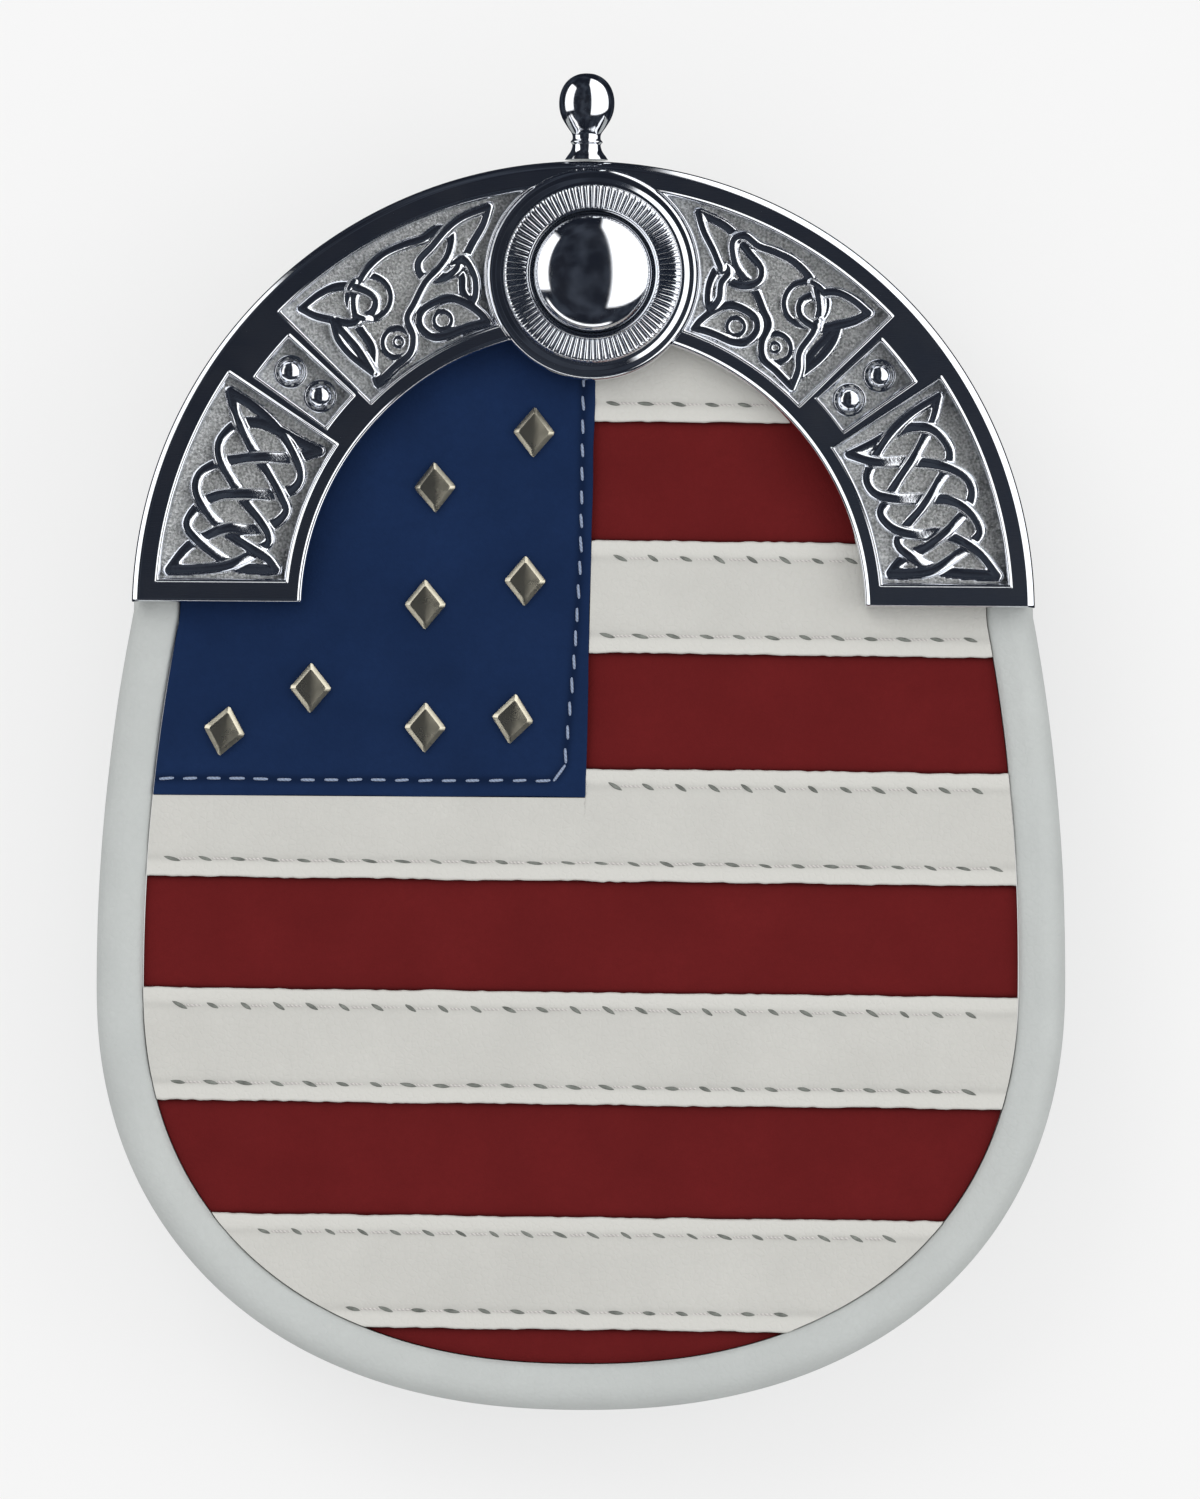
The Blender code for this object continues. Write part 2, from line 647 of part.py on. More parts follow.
def make_strap_loops(finish):
    """Two leather loops that the waist strap threads through, each a bridge with its feet on the back."""
    low, high = LOOP_BOTTOM, LOOP_BOTTOM + LOOP_LENGTH

    def seat(y):
        return back_face(y) - PIECE_GAP

    inner_low, inner_high = low + LOOP_FOOT, high - LOOP_FOOT
    outline = [
        (low, seat(low)),
        (inner_low + WALL_LEATHER, seat(inner_low + WALL_LEATHER)),
        (inner_low + WALL_LEATHER, WALL_LEATHER),
        (inner_high - WALL_LEATHER, WALL_LEATHER),
        (inner_high - WALL_LEATHER, seat(inner_high - WALL_LEATHER)),
        (high, seat(high)),
        (high, seat(high) - WALL_LEATHER),
        (inner_high + WALL_LEATHER, seat(inner_high) - WALL_LEATHER),
        (inner_high, 0.0),
        (inner_low, 0.0),
        (inner_low - WALL_LEATHER, seat(inner_low) - WALL_LEATHER),
        (low, seat(low) - WALL_LEATHER),
    ]
    for side, name in ((-1, "strap_loop_left"), (1, "strap_loop_right")):
        edges = [side * LOOP_MIDDLE - LOOP_WIDTH / 2, side * LOOP_MIDDLE + LOOP_WIDTH / 2]
        sections = [[(x, y, z) for y, z in outline] for x in edges]
        points, faces = bridged(sections, closed=False)
        make_object(name, points, faces, finish)


def arch_profile():
    """The arch's top as (radius, height), from its outer edge over its mouldings to its inner edge."""
    roll, outer, inner = FRAME_DROP, CANTLE_RADIUS, INNER_RADIUS
    return [
        (outer, FRAME_Z - 2.0 * roll),
        (outer - 0.16 * OUTER_FRAME, FRAME_Z + 0.4 * roll),
        (outer - 0.40 * OUTER_FRAME, FRAME_Z + roll),
        (outer - 0.60 * OUTER_FRAME, FRAME_Z),
        (inner + 0.52 * INNER_FRAME, FRAME_Z),
        (inner + 0.26 * INNER_FRAME, FRAME_Z + 0.7 * roll),
        (inner, FRAME_Z - 0.9 * roll),
    ]


def lobe_profile():
    """The round seat under the boss as (distance from the boss, height), from its edge inwards."""
    return [
        (LOBE_RADIUS, FRAME_Z),
        (LOBE_RADIUS - 0.14 * INNER_FRAME, FRAME_Z + 0.6 * FRAME_DROP),
        (LOBE_RADIUS - 0.34 * INNER_FRAME, FRAME_Z + FRAME_DROP),
        (0.0, FRAME_Z + FRAME_DROP),
    ]


def under_profile():
    """The casting's underside, with the skirt that it bears down with along its outer edge."""
    return [
        (CANTLE_RADIUS, CANTLE_Z - SKIRT_DROP),
        (CANTLE_RADIUS - 0.6 * SKIRT_WALL, CANTLE_Z - SKIRT_DROP),
        (CANTLE_RADIUS - SKIRT_WALL, CANTLE_Z),
        (INNER_RADIUS, CANTLE_Z),
    ]


def height_on(profile, radius):
    """A profile's height at a radius, straight between its rows."""
    for (far, far_height), (near, near_height) in zip(profile, profile[1:]):
        if radius >= near:
            share = min((radius - near) / (far - near), 1.0)
            return near_height + share * (far_height - near_height)
    return profile[-1][1]


def plate_height(x, y):
    """The casting's top, away from its sunk panels."""
    height = height_on(arch_profile(), math.hypot(x, y))
    from_boss = math.hypot(x - BOSS_SIDE_OFFSET, y - BOSS_DISTANCE)
    if from_boss <= LOBE_RADIUS * (1 + 1e-6):
        height = max(height, height_on(lobe_profile(), from_boss))
    return height


def under_height(x, y):
    return height_on(under_profile(), math.hypot(x, y))


def arc(radius, start, end, steps, centre=(0.0, 0.0)):
    angles = [start + (end - start) * k / steps for k in range(steps + 1)]
    return [(centre[0] + radius * math.cos(a), centre[1] + radius * math.sin(a)) for a in angles]


def foot_angle(radius):
    """The angle at which an arc of this radius meets the line that both of the arch's feet end on."""
    return math.asin(CANTLE_EDGE_LIFT / radius)


def lobe_arcs():
    """The lobe's edge in two runs: the free one under the arch, and the one that lies on the arch."""
    centre = (BOSS_SIDE_OFFSET, BOSS_DISTANCE)
    ends = []
    for side in (-1, 1):
        a = angle_by_lobe(INNER_RADIUS, side, LOBE_RADIUS)
        x, y = side * INNER_RADIUS * math.cos(a), INNER_RADIUS * math.sin(a)
        ends.append(math.atan2(y - centre[1], x - centre[0]) % (2 * math.pi))
    free = arc(LOBE_RADIUS, ends[0], ends[1], LOBE_STEPS // 3, centre)
    seated = arc(LOBE_RADIUS, ends[1], ends[0] + 2 * math.pi, LOBE_STEPS * 2 // 3, centre)
    return free, seated


def foot_radii():
    """Radii of the lines that end on the arch's feet, from the outer one inwards."""
    radii = {radius for radius, _ in arch_profile()[1:-1]} | {radius for radius, _ in under_profile()[1:-1]}
    return sorted(radii, reverse=True)


def cantle_outline():
    """The casting's outline, anticlockwise from the outer corner of its right foot."""
    outer = foot_angle(CANTLE_RADIUS)
    outline = arc(CANTLE_RADIUS, outer, math.pi - outer, ARCH_STEPS)
    for radius in foot_radii():
        outline += arc(radius, math.pi - foot_angle(radius), math.pi, 1)[:1]
    inner = foot_angle(INNER_RADIUS)
    meet_left, meet_right = (angle_by_lobe(INNER_RADIUS, side, LOBE_RADIUS) for side in (-1, 1))
    outline += arc(INNER_RADIUS, math.pi - inner, math.pi - meet_left, ARCH_STEPS // 2)[:-1]
    outline += lobe_arcs()[0]
    outline += arc(INNER_RADIUS, meet_right, inner, ARCH_STEPS // 2)[1:]
    for radius in reversed(foot_radii()):
        outline += arc(radius, foot_angle(radius), math.pi, 1)[:1]
    return outline


def arch_line(radius):
    foot = foot_angle(radius)
    return {"points": arc(radius, foot, math.pi - foot, ARCH_STEPS), "closed": False}


def ring_line(radius, centre, steps, height=None):
    return {"points": arc(radius, 0.0, 2 * math.pi, steps, centre)[:-1], "closed": True, "height": height}


def boss_place(across, along, height):
    return (BOSS_SIDE_OFFSET + across, BOSS_DISTANCE + along, height)


def angle_by_lobe(radius, side, clear):
    """The angle, up from the arch's foot, at which an arc of this radius comes that near to the boss."""
    distance = math.hypot(BOSS_DISTANCE, BOSS_SIDE_OFFSET)
    lean = side * math.atan2(BOSS_SIDE_OFFSET, BOSS_DISTANCE)
    cosine = (radius**2 + distance**2 - clear**2) / (2 * radius * distance)
    return math.pi / 2 - lean - math.acos(min(cosine, 1.0))


def pocket_limits(kind, radius, side):
    """The two angles between which a sunk panel of this kind runs, at one radius."""
    if kind == "lower":
        return math.asin((CANTLE_EDGE_LIFT + BOTTOM_FRAME) / radius), LOWER_POCKET_TOP
    if kind == "stud":
        return STUD_POCKET_BOTTOM, STUD_POCKET_TOP
    return UPPER_POCKET_BOTTOM, angle_by_lobe(radius, side, LOBE_RADIUS + POCKET_TO_LOBE)


def pocket_radii(kind):
    extra = STUD_POCKET_INSET if kind == "stud" else 0.0
    inner = INNER_RADIUS + INNER_FRAME + extra * INNER_FRAME / OUTER_FRAME
    return inner, CANTLE_RADIUS - OUTER_FRAME - extra


def panel_point(kind, side, along, across, margin=0.0):
    """A point of a sunk panel, from shares along and across it, on one side of the cantle."""
    inner, outer = pocket_radii(kind)
    radius = inner + margin + across * (outer - inner - 2 * margin)
    start, end = pocket_limits(kind, radius, side)
    spare = margin / radius
    a = start + spare + along * (end - start - 2 * spare)
    return side * radius * math.cos(a), radius * math.sin(a)


def pocket_line(kind, side, margin, height):
    """A sunk panel's border, moved in by a margin."""
    steps = 3 if kind == "stud" else 6
    shares = [k / steps for k in range(steps)]
    points = [panel_point(kind, side, s, 0.0, margin) for s in shares]
    points += [panel_point(kind, side, 1.0, s, margin) for s in shares]
    points += [panel_point(kind, side, 1.0 - s, 1.0, margin) for s in shares]
    points += [panel_point(kind, side, 0.0, 1.0 - s, margin) for s in shares]
    return {"points": points, "closed": True, "height": height}


def pocket_holding(x, y):
    """The sunk panel that a point lies in, as its kind and side, or None."""
    side = 1 if x > 0 else -1
    radius, angle = math.hypot(x, y), math.atan2(y, abs(x))
    for kind in ("lower", "stud", "upper"):
        inner, outer = pocket_radii(kind)
        start, end = pocket_limits(kind, radius, side)
        if inner < radius < outer and start < angle < end:
            return kind, side
    return None


def smooth_route(controls, spacing):
    """A closed route through its control points, smooth except at the sharp ones, as evenly spaced points."""
    count = len(controls)
    dense = []
    for k in range(count):
        before, here, there, beyond = (controls[(k + j) % count] for j in (-1, 0, 1, 2))
        p0, p1, p2, p3 = (Vector(c[:2]) for c in (before, here, there, beyond))
        leave = (p2 - p1) if here[2] else (p2 - p0) / 2
        arrive = (p2 - p1) if there[2] else (p3 - p1) / 2
        steps = max(2, round((p2 - p1).length / spacing))
        for i in range(steps):
            t = i / steps
            dense.append(
                p1 * (2 * t**3 - 3 * t**2 + 1)
                + leave * (t**3 - 2 * t**2 + t)
                + p2 * (3 * t**2 - 2 * t**3)
                + arrive * (t**3 - t**2)
            )
    return dense


def crossing(a, b, c, d):
    """Where two segments cross, as shares along each, or None."""
    first, second, between = b - a, d - c, c - a
    area = first.x * second.y - first.y * second.x
    if abs(area) < 1e-18:
        return None
    s = (between.x * second.y - between.y * second.x) / area
    t = (between.x * first.y - between.y * first.x) / area
    return (s, t) if 0 <= s < 1 and 0 <= t < 1 else None


def inside_count(point, routes):
    """How many times a ray from the point crosses the routes."""
    hits = 0
    for route in routes:
        for a, b in zip(route, route[1:] + route[:1]):
            if (a.y > point.y) != (b.y > point.y):
                x = a.x + (point.y - a.y) / (b.y - a.y) * (b.x - a.x)
                hits += x > point.x
    return hits


def woven_heights(routes):
    """For each point of each route, how far it stands over or under, from -1 to 1, so that it weaves.
    A strand passes over where the ground on its left, just before the crossing, is enclosed."""
    segments = []
    for r, route in enumerate(routes):
        segments += [(r, k, route[k], route[(k + 1) % len(route)]) for k in range(len(route))]
    passes = [[] for _ in routes]
    for i, (r1, k1, a, b) in enumerate(segments):
        for r2, k2, c, d in segments[i + 1 :]:
            if r1 == r2 and (abs(k1 - k2) <= 1 or abs(k1 - k2) == len(routes[r1]) - 1):
                continue
            met = crossing(a, b, c, d)
            if met:
                for r, k, share, start, end in ((r1, k1, met[0], a, b), (r2, k2, met[1], c, d)):
                    along = (end - start).normalized()
                    reach = STRAND_WIDTH / 4
                    point = start.lerp(end, share) - along * reach + Vector((-along.y, along.x)) * reach / 2
                    passes[r].append((k + share, 1.0 if inside_count(point, routes) % 2 else -1.0))
    heights = []
    for route, own in zip(routes, passes):
        own.sort()
        heights.append([height_between(k, own, len(route)) for k in range(len(route))])
    return heights


def height_between(place, passes, length):
    if not passes:
        return 0.0
    wrapped = [(passes[-1][0] - length, passes[-1][1])] + passes + [(passes[0][0] + length, passes[0][1])]
    for (low, first), (high, second) in zip(wrapped, wrapped[1:]):
        if low <= place <= high:
            share = (place - low) / max(high - low, 1e-9)
            return first + (second - first) * (1 - math.cos(math.pi * share)) / 2
    return 0.0


def knot_routes(kind, side):
    """The routes of one panel's interlace, on the cantle."""
    def lay(along, across):
        return Vector(panel_point(kind, side, along, across, POCKET_MARGIN))

    table = LOWER_KNOT if kind == "lower" else LEAF_KNOT
    knot = [(*lay(min(row["along"], 1.0), row["across"]), row["sharp"]) for row in table]
    routes = [smooth_route(knot, STRAND_STEP)]
    if kind == "lower":
        return routes
    ring = []
    for k in range(KNOT_RING["points"]):
        a = 2 * math.pi * k / KNOT_RING["points"]
        along = KNOT_RING["along"] + KNOT_RING["long"] * math.cos(a)
        across = KNOT_RING["across"] + KNOT_RING["wide"] * math.sin(a)
        ring.append((*lay(along, across), False))
    routes.append(smooth_route(ring, STRAND_STEP))
    return routes


def strand_lines(routes):
    """The feet and the crest's edges of each strand, as lines beside its route."""
    lines = []
    for route in routes:
        count = len(route)
        sides = []
        for k in range(count):
            along = (route[(k + 1) % count] - route[k - 1]).normalized()
            sides.append(Vector((-along.y, along.x)) * STRAND_WIDTH / 2)
        for share in (-1.0, -STRAND_CREST, STRAND_CREST, 1.0):
            points = [tuple(point + side * share) for point, side in zip(route, sides)]
            lines.append({"points": points, "closed": True})
    return lines


def strand_height(place, routes, heights):
    """How far the strands stand over the panel's floor at a place."""
    tallest = 0.0
    for route, own in zip(routes, heights):
        for k, start in enumerate(route):
            end = route[(k + 1) % len(route)]
            run = end - start
            share = min(max((place - start).dot(run) / run.length_squared, 0.0), 1.0)
            away = (place - start - run * share).length / (STRAND_WIDTH / 2)
            if away < 1.0:
                weave = own[k] + (own[(k + 1) % len(route)] - own[k]) * share
                slope = min((1.0 - away) / (1.0 - STRAND_CREST), 1.0)
                tallest = max(tallest, slope * (STRAND_HEIGHT + WEAVE_HEIGHT * weave))
    return tallest


def small_dome_lines(side, floor):
    """The two little domes in a stud panel, as rings with their heights."""
    lines = []
    for across in (0.27, 0.73):
        centre = panel_point("stud", side, 0.5, across)
        for share, rise in ((1.0, 0.0), (0.85, 0.5), (0.5, 0.85), (0.1, 1.0)):
            height = floor + rise * SMALL_DOME_RADIUS
            lines.append(ring_line(share * SMALL_DOME_RADIUS, centre, ROUND_STEPS // 2, height))
    return lines


def triangulated(outline, lines, height_at):
    """A face in plan, with its lines as edges, and a height at each point: its line's own, or its place's.
    Gives the points, the faces and the place of each of the outline's points among them."""
    flat, edges, fixed = [], [], {}
    for line in [{"points": outline, "closed": True}] + lines:
        start, count = len(flat), len(line["points"])
        flat += [Vector(point) * PLAN_SCALE for point in line["points"]]
        edges += [(start + k, start + (k + 1) % count) for k in range(count if line["closed"] else count - 1)]
        if line.get("height") is not None:
            fixed.update((start + k, line["height"]) for k in range(count))
    face = [list(range(len(outline)))]
    made, _, triangles, sources, _, parents = delaunay_2d_cdt(flat, edges, face, 1, PLAN_MERGE, True)
    faces = [tuple(triangle) for triangle, parent in zip(triangles, parents) if parent]
    points, rim = [], {}
    for index, (place, source) in enumerate(zip(made, sources)):
        x, y = place.x / PLAN_SCALE, place.y / PLAN_SCALE
        own = [fixed[k] for k in source if k in fixed]
        points.append((x, y, own[0] if own else height_at(x, y)))
        rim.update((k, index) for k in source if k < len(outline))
    return points, faces, [rim[k] for k in range(len(outline))]


def cantle_lines():
    """The lines of the casting's top, and the strands that lie in its sunk panels."""
    lines = [arch_line(radius) for radius, _ in arch_profile()[1:-1]]
    lines.append({"points": lobe_arcs()[1], "closed": False})
    for radius, _ in lobe_profile()[1:-1]:
        lines.append(ring_line(radius, (BOSS_SIDE_OFFSET, BOSS_DISTANCE), LOBE_STEPS))
    floor = FRAME_Z - POCKET_DEPTH
    knots = {}
    for side in (-1, 1):
        for kind in ("lower", "stud", "upper"):
            lines.append(pocket_line(kind, side, 0.0, FRAME_Z))
            lines.append(pocket_line(kind, side, POCKET_SLOPE, floor))
        for kind in ("lower", "upper"):
            routes = knot_routes(kind, side)
            knots[kind, side] = (routes, woven_heights(routes))
            lines += strand_lines(routes)
        lines += small_dome_lines(side, floor)
    return lines, knots


def make_cantle(finish):
    """The casting, as one face over another inside the same outline."""
    lines, knots = cantle_lines()
    outline = cantle_outline()

    def top_height(x, y):
        pocket = pocket_holding(x, y)
        if pocket in knots:
            return FRAME_Z - POCKET_DEPTH + strand_height(Vector((x, y)), *knots[pocket])
        return FRAME_Z - POCKET_DEPTH if pocket else plate_height(x, y)

    top, top_faces, top_rim = triangulated(outline, lines, top_height)
    under_lines = [arch_line(radius) for radius, _ in under_profile()[1:-1]]
    low, low_faces, low_rim = triangulated(outline, under_lines, under_height)
    points = top + low
    faces = top_faces + [tuple(len(top) + k for k in reversed(face)) for face in low_faces]
    count = len(outline)
    for k in range(count):
        after = (k + 1) % count
        faces.append((top_rim[after], top_rim[k], len(top) + low_rim[k], len(top) + low_rim[after]))
    make_object("cantle", points, faces, finish)


def make_boss(finish):
    """The reeded ring round the boss, and the dome that it holds."""
    seat = FRAME_Z + FRAME_DROP + PIECE_GAP
    outer, inner, depth = RING_OUTER_RADIUS, RING_INNER_RADIUS, REED_DEPTH
    outline = [
        (inner, seat, 0.0),
        (outer, seat, 0.0),
        (outer, seat + RING_EDGE * RING_HEIGHT, 1.0),
        (inner, seat + RING_HEIGHT, 1.0),
    ]
    sections = []
    for k in range(2 * REED_COUNT):
        a = math.pi * k / REED_COUNT
        cut = depth * (k % 2)
        ring = [boss_place(r * math.cos(a), r * math.sin(a), z - cut * reeded) for r, z, reeded in outline]
        sections.append(ring)
    points, faces = bridged(sections, closed=True)
    make_object("boss_ring", points, faces, finish)
    reach = min(DOME_RADIUS, RING_INNER_RADIUS - PIECE_GAP)
    dome = [(reach, seat), (reach, seat + DOME_SEAT)]
    dome_steps = 6
    for k in range(1, dome_steps):
        a = math.pi / 2 * k / dome_steps
        dome.append((reach * math.cos(a), seat + DOME_SEAT + DOME_RISE * math.sin(a)))
    points, faces = turned(dome, ROUND_STEPS, boss_place)
    make_object("boss_dome", points, faces, finish)


def make_finial(finish):
    """The turned knob that stands on the cantle's outer edge."""
    middle = (CANTLE_Z - SKIRT_DROP + FRAME_Z) / 2
    foot = CANTLE_RADIUS + PIECE_GAP
    height = FINIAL_HEIGHT - PIECE_GAP
    outline = [(row["radius"] * FINIAL_RADIUS, foot + row["height"] * height) for row in FINIAL_OUTLINE]
    points, faces = turned(outline, ROUND_STEPS, lambda a, b, along: (a, along, middle + b))
    faces.pop()
    tip, last = len(points), len(points) - ROUND_STEPS
    points.append((0.0, foot + height, middle))
    faces += [(last + k, last + (k + 1) % ROUND_STEPS, tip) for k in range(ROUND_STEPS)]
    make_object("finial", points, faces, finish)


def main():
    clear_scene()
    centre = bpy.data.objects.new(BUILD_CENTRE, None)
    centre.location = (0.0, CENTRE_Y, 0.0)
    bpy.context.scene.collection.objects.link(centre)
    chrome = material("polished_metal", (0.62, 0.63, 0.65), 0.08, 1.0)
    stud_metal = material("stud_metal", (0.45, 0.42, 0.34), 0.25, 1.0)
    red = material("red_leather", (0.16, 0.010, 0.014), 0.55)
    white = material("white_leather", (0.62, 0.63, 0.60), 0.55)
    blue = material("blue_leather", (0.012, 0.030, 0.095), 0.55)
    make_gusset(white)
    make_front_panel(red)
    panel_room = make_panel_room()
    make_stripes(white, panel_room, make_canton_cutter())
    make_canton(blue, panel_room)
    make_diamond_studs(stud_metal)
    make_back_panel(white)
    make_flap_and_snap(white, chrome)
    make_strap_loops(white)
    make_cantle(chrome)
    make_boss(chrome)
    make_finial(chrome)


main()
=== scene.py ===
"""The finish of a dress sporran pouch that lies on its back: a polished cast cantle over a leather pouch.

Each operator makes one piece, or a group of like pieces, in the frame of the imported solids. Lengths are in
metres. The face looks up along +Z and the finial points along +Y. Shapes are worked out about the centre of
the cantle's arch, and make_piece moves them to where that centre lies in the frame.
"""

import math

import bmesh
import bpy
import numpy as np
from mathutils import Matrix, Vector


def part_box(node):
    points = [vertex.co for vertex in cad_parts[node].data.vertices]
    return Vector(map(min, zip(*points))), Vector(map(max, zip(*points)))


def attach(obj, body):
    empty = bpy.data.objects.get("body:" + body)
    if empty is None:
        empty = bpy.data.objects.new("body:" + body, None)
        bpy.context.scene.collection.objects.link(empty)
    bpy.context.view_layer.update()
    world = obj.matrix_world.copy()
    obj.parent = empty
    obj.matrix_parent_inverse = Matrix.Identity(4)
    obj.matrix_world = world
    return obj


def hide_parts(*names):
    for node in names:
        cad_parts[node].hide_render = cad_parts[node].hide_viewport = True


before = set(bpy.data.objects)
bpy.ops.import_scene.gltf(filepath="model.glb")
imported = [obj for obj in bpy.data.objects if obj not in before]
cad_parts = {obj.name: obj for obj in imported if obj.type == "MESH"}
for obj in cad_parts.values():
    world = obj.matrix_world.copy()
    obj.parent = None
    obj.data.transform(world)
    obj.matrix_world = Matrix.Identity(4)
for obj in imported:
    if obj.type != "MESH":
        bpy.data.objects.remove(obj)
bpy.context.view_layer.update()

bl_info = {
    "name": "Sporran Pouch Finish",
    "version": (1, 0, 0),
    "blender": (4, 5, 0),
    "location": "3D View > Sidebar > Sporran",
    "description": "Finishes the solids of a sporran pouch in cast metal, leather and thread",
    "category": "Object",
}

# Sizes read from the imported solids
CANTLE_LOW, CANTLE_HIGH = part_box("cantle")
GUSSET_LOW, GUSSET_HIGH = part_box("gusset")
RING_LOW, RING_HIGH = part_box("boss_ring")
DOME_LOW, DOME_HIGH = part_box("boss_dome")
FINIAL_LOW, FINIAL_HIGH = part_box("finial")
SNAP_LOW, SNAP_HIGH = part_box("flap_snap")
FLAP_LOW, FLAP_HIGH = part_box("back_flap")

CANTLE_RADIUS = CANTLE_HIGH.x
CENTRE_Y = CANTLE_HIGH.y - CANTLE_RADIUS
POUCH_HALF_WIDTH = GUSSET_HIGH.x
POUCH_BOTTOM_DROP = CENTRE_Y - GUSSET_LOW.y
POUCH_DEPTH = GUSSET_HIGH.z

# The pouch, as its solids are drawn
POUCH_WIDEST_DROP = 0.0624
POUCH_LOWER_POWER = 2.25
BACK_RISE = 0.0140
BACK_RISE_POWER = 1.3
BACK_FLAT_DROP = 0.0750
PIECE_GAP = 0.0003
SEWN_GAP = PIECE_GAP / 3
WALL_LEATHER = 0.0016
STRIPE_LEATHER = 0.0013
RIM_WIDTH = 0.0080
BACK_ROLL_WIDTH = 0.0066
PANEL_SINK = 0.0031
PANEL_CROWN = 0.0015
FRONT_PANEL_Z = POUCH_DEPTH - PANEL_SINK

# White stripes and the blue canton
STRIPE_WIDTH = 0.0191
STRIPE_PITCH = 0.0386
STRIPE_SLIPS = [0.000, 0.021, 0.027, 0.012, 0.004]
FIRST_STRIPE_EDGE = 0.0327
STRIPE_TILT = math.radians(0.3)
STRIPE_NODES = ["white_stripe_" + str(number + 1) for number in range(len(STRIPE_SLIPS))]
CANTON_TOP = 0.0510
CANTON_BOTTOM = -0.0313
CANTON_RIGHT_AT_TOP = 0.0019
CANTON_RIGHT_AT_BOTTOM = 0.0005
CANTON_CORNER = 0.0026
CANTON_WIDEST = 0.085
STUD_LEANS = [-1.5, 2.0, -1.0, 0.0, -1.0, -11.0, -1.0, -7.0]

# How far the canton's seam lies in from its right edge: (share of the way up the canton, distance)
CANTON_SIDE_SEAM = [
    (0.00, 0.0036), (0.08, 0.0035), (0.28, 0.0024), (0.50, 0.0017), (0.80, 0.0019), (1.00, 0.0021),
]

# Where the stripes' seams stop, and the place and size of their thread and slits' painted shadow in the
# channel
SEAM_FROM_RIM_LEFT = 0.0028
SEAM_FROM_RIM_RIGHT = 0.0030
SEAM_FROM_CANTON = 0.0016
SLIT_LIFT = 0.00010
SLIT_HEIGHT = 0.00024
STRIPE_THREAD_LIFT = 0.00002
STRIPE_THREAD_WIDTH = 0.00042
STRIPE_THREAD_HEIGHT = 0.00034

# Steps between the points of a sewn piece: along its cut edge, beside its seam and elsewhere
EDGE_STEP = 0.00012
SEAM_STEP = 0.0003
PLAIN_STEP = 0.0008

# How far the cut edges are rounded down, and how far in from an edge its wandering dies away
EDGE_FALL = 0.00042
WANDER_REACH = 0.0016

# The back's mouth and loops
MOUTH_HALF_WIDTH = 0.0360
MOUTH_BOTTOM = 0.0120
MOUTH_HEIGHT = 0.0320
FLAP_CORNER = 0.0140
FLAP_SEAM = 0.0032
LOOP_FOOT = 0.0045

# The cantle's casting
CANTLE_BAND = 0.0289
CANTLE_EDGE_LIFT = 0.0014
FRAME_DROP = 0.0006
SKIRT_DROP = 0.0007
SKIRT_WALL = 0.0020
POCKET_DEPTH = 0.0022
OUTER_FRAME = 0.0044
INNER_FRAME = 0.0033
BOTTOM_FRAME = 0.0039
LOWER_POCKET_TOP = math.radians(33.5)
STUD_POCKET_BOTTOM = math.radians(35.6)
STUD_POCKET_TOP = math.radians(42.6)
STUD_POCKET_INSET = 0.0040
UPPER_POCKET_BOTTOM = math.radians(44.6)
POCKET_MARGIN = 0.0015
SMALL_DOME_RADIUS = 0.0022
BOSS_DROP = 0.0192
BOSS_SIDE_OFFSET = 0.0012
LOBE_RADIUS = 0.0180
POCKET_TO_LOBE = 0.0004
FRAME_Z = CANTLE_HIGH.z - FRAME_DROP
CANTLE_Z = CANTLE_LOW.z + SKIRT_DROP
INNER_RADIUS = CANTLE_RADIUS - CANTLE_BAND
BOSS_DISTANCE = CANTLE_RADIUS - BOSS_DROP
INNER_BEAD_HALF = 0.00042
INNER_BEAD_HEIGHT = 0.00030
INNER_EDGE_FALL = 0.0006
OUTER_FALL_SHARE = 0.35
OUTER_LIP_START = 0.88
OUTER_LIP_FALL = 0.0004
FOOT_ROUND = 0.0005
POCKET_WALL_RUN = 0.00036
SLAB_DEPTH = 0.0003
PANEL_KINDS = ["lower", "stud", "upper"]
REED_COUNT = 84
DOME_EDGE = 0.0022
DOME_RISE = 0.0052

# The interlace: closed loops through (along, across) shares of a panel, along it from its lower border and
# across it from its inner border. Tips are the places in the list where a loop turns sharply.
LOWER_LOOPS = [
    {"tips": [0, 15, 25, 39], "points": [
        (0.98, 1.00), (0.98, 0.70), (0.94, 0.42), (0.85, 0.18), (0.74, 0.04), (0.62, 0.06), (0.54, 0.22),
        (0.49, 0.45), (0.44, 0.68), (0.36, 0.83), (0.25, 0.90), (0.18, 0.80), (0.11, 0.62), (0.03, 0.40),
        (0.01, 0.18), (0.01, 0.00), (0.10, 0.12), (0.20, 0.42), (0.30, 0.68), (0.41, 0.88), (0.51, 0.92),
        (0.60, 0.81), (0.68, 0.62), (0.75, 0.42), (0.83, 0.18), (0.97, 0.00), (0.95, 0.22), (0.94, 0.44),
        (0.91, 0.64), (0.84, 0.80), (0.72, 0.86), (0.63, 0.79), (0.55, 0.63), (0.44, 0.43), (0.33, 0.22),
        (0.23, 0.12), (0.14, 0.20), (0.04, 0.42), (0.01, 0.66), (0.00, 1.00), (0.12, 0.86), (0.20, 0.70),
        (0.26, 0.52), (0.27, 0.33), (0.33, 0.13), (0.45, 0.04), (0.54, 0.12), (0.65, 0.30), (0.76, 0.55),
        (0.88, 0.82),
    ]},
]
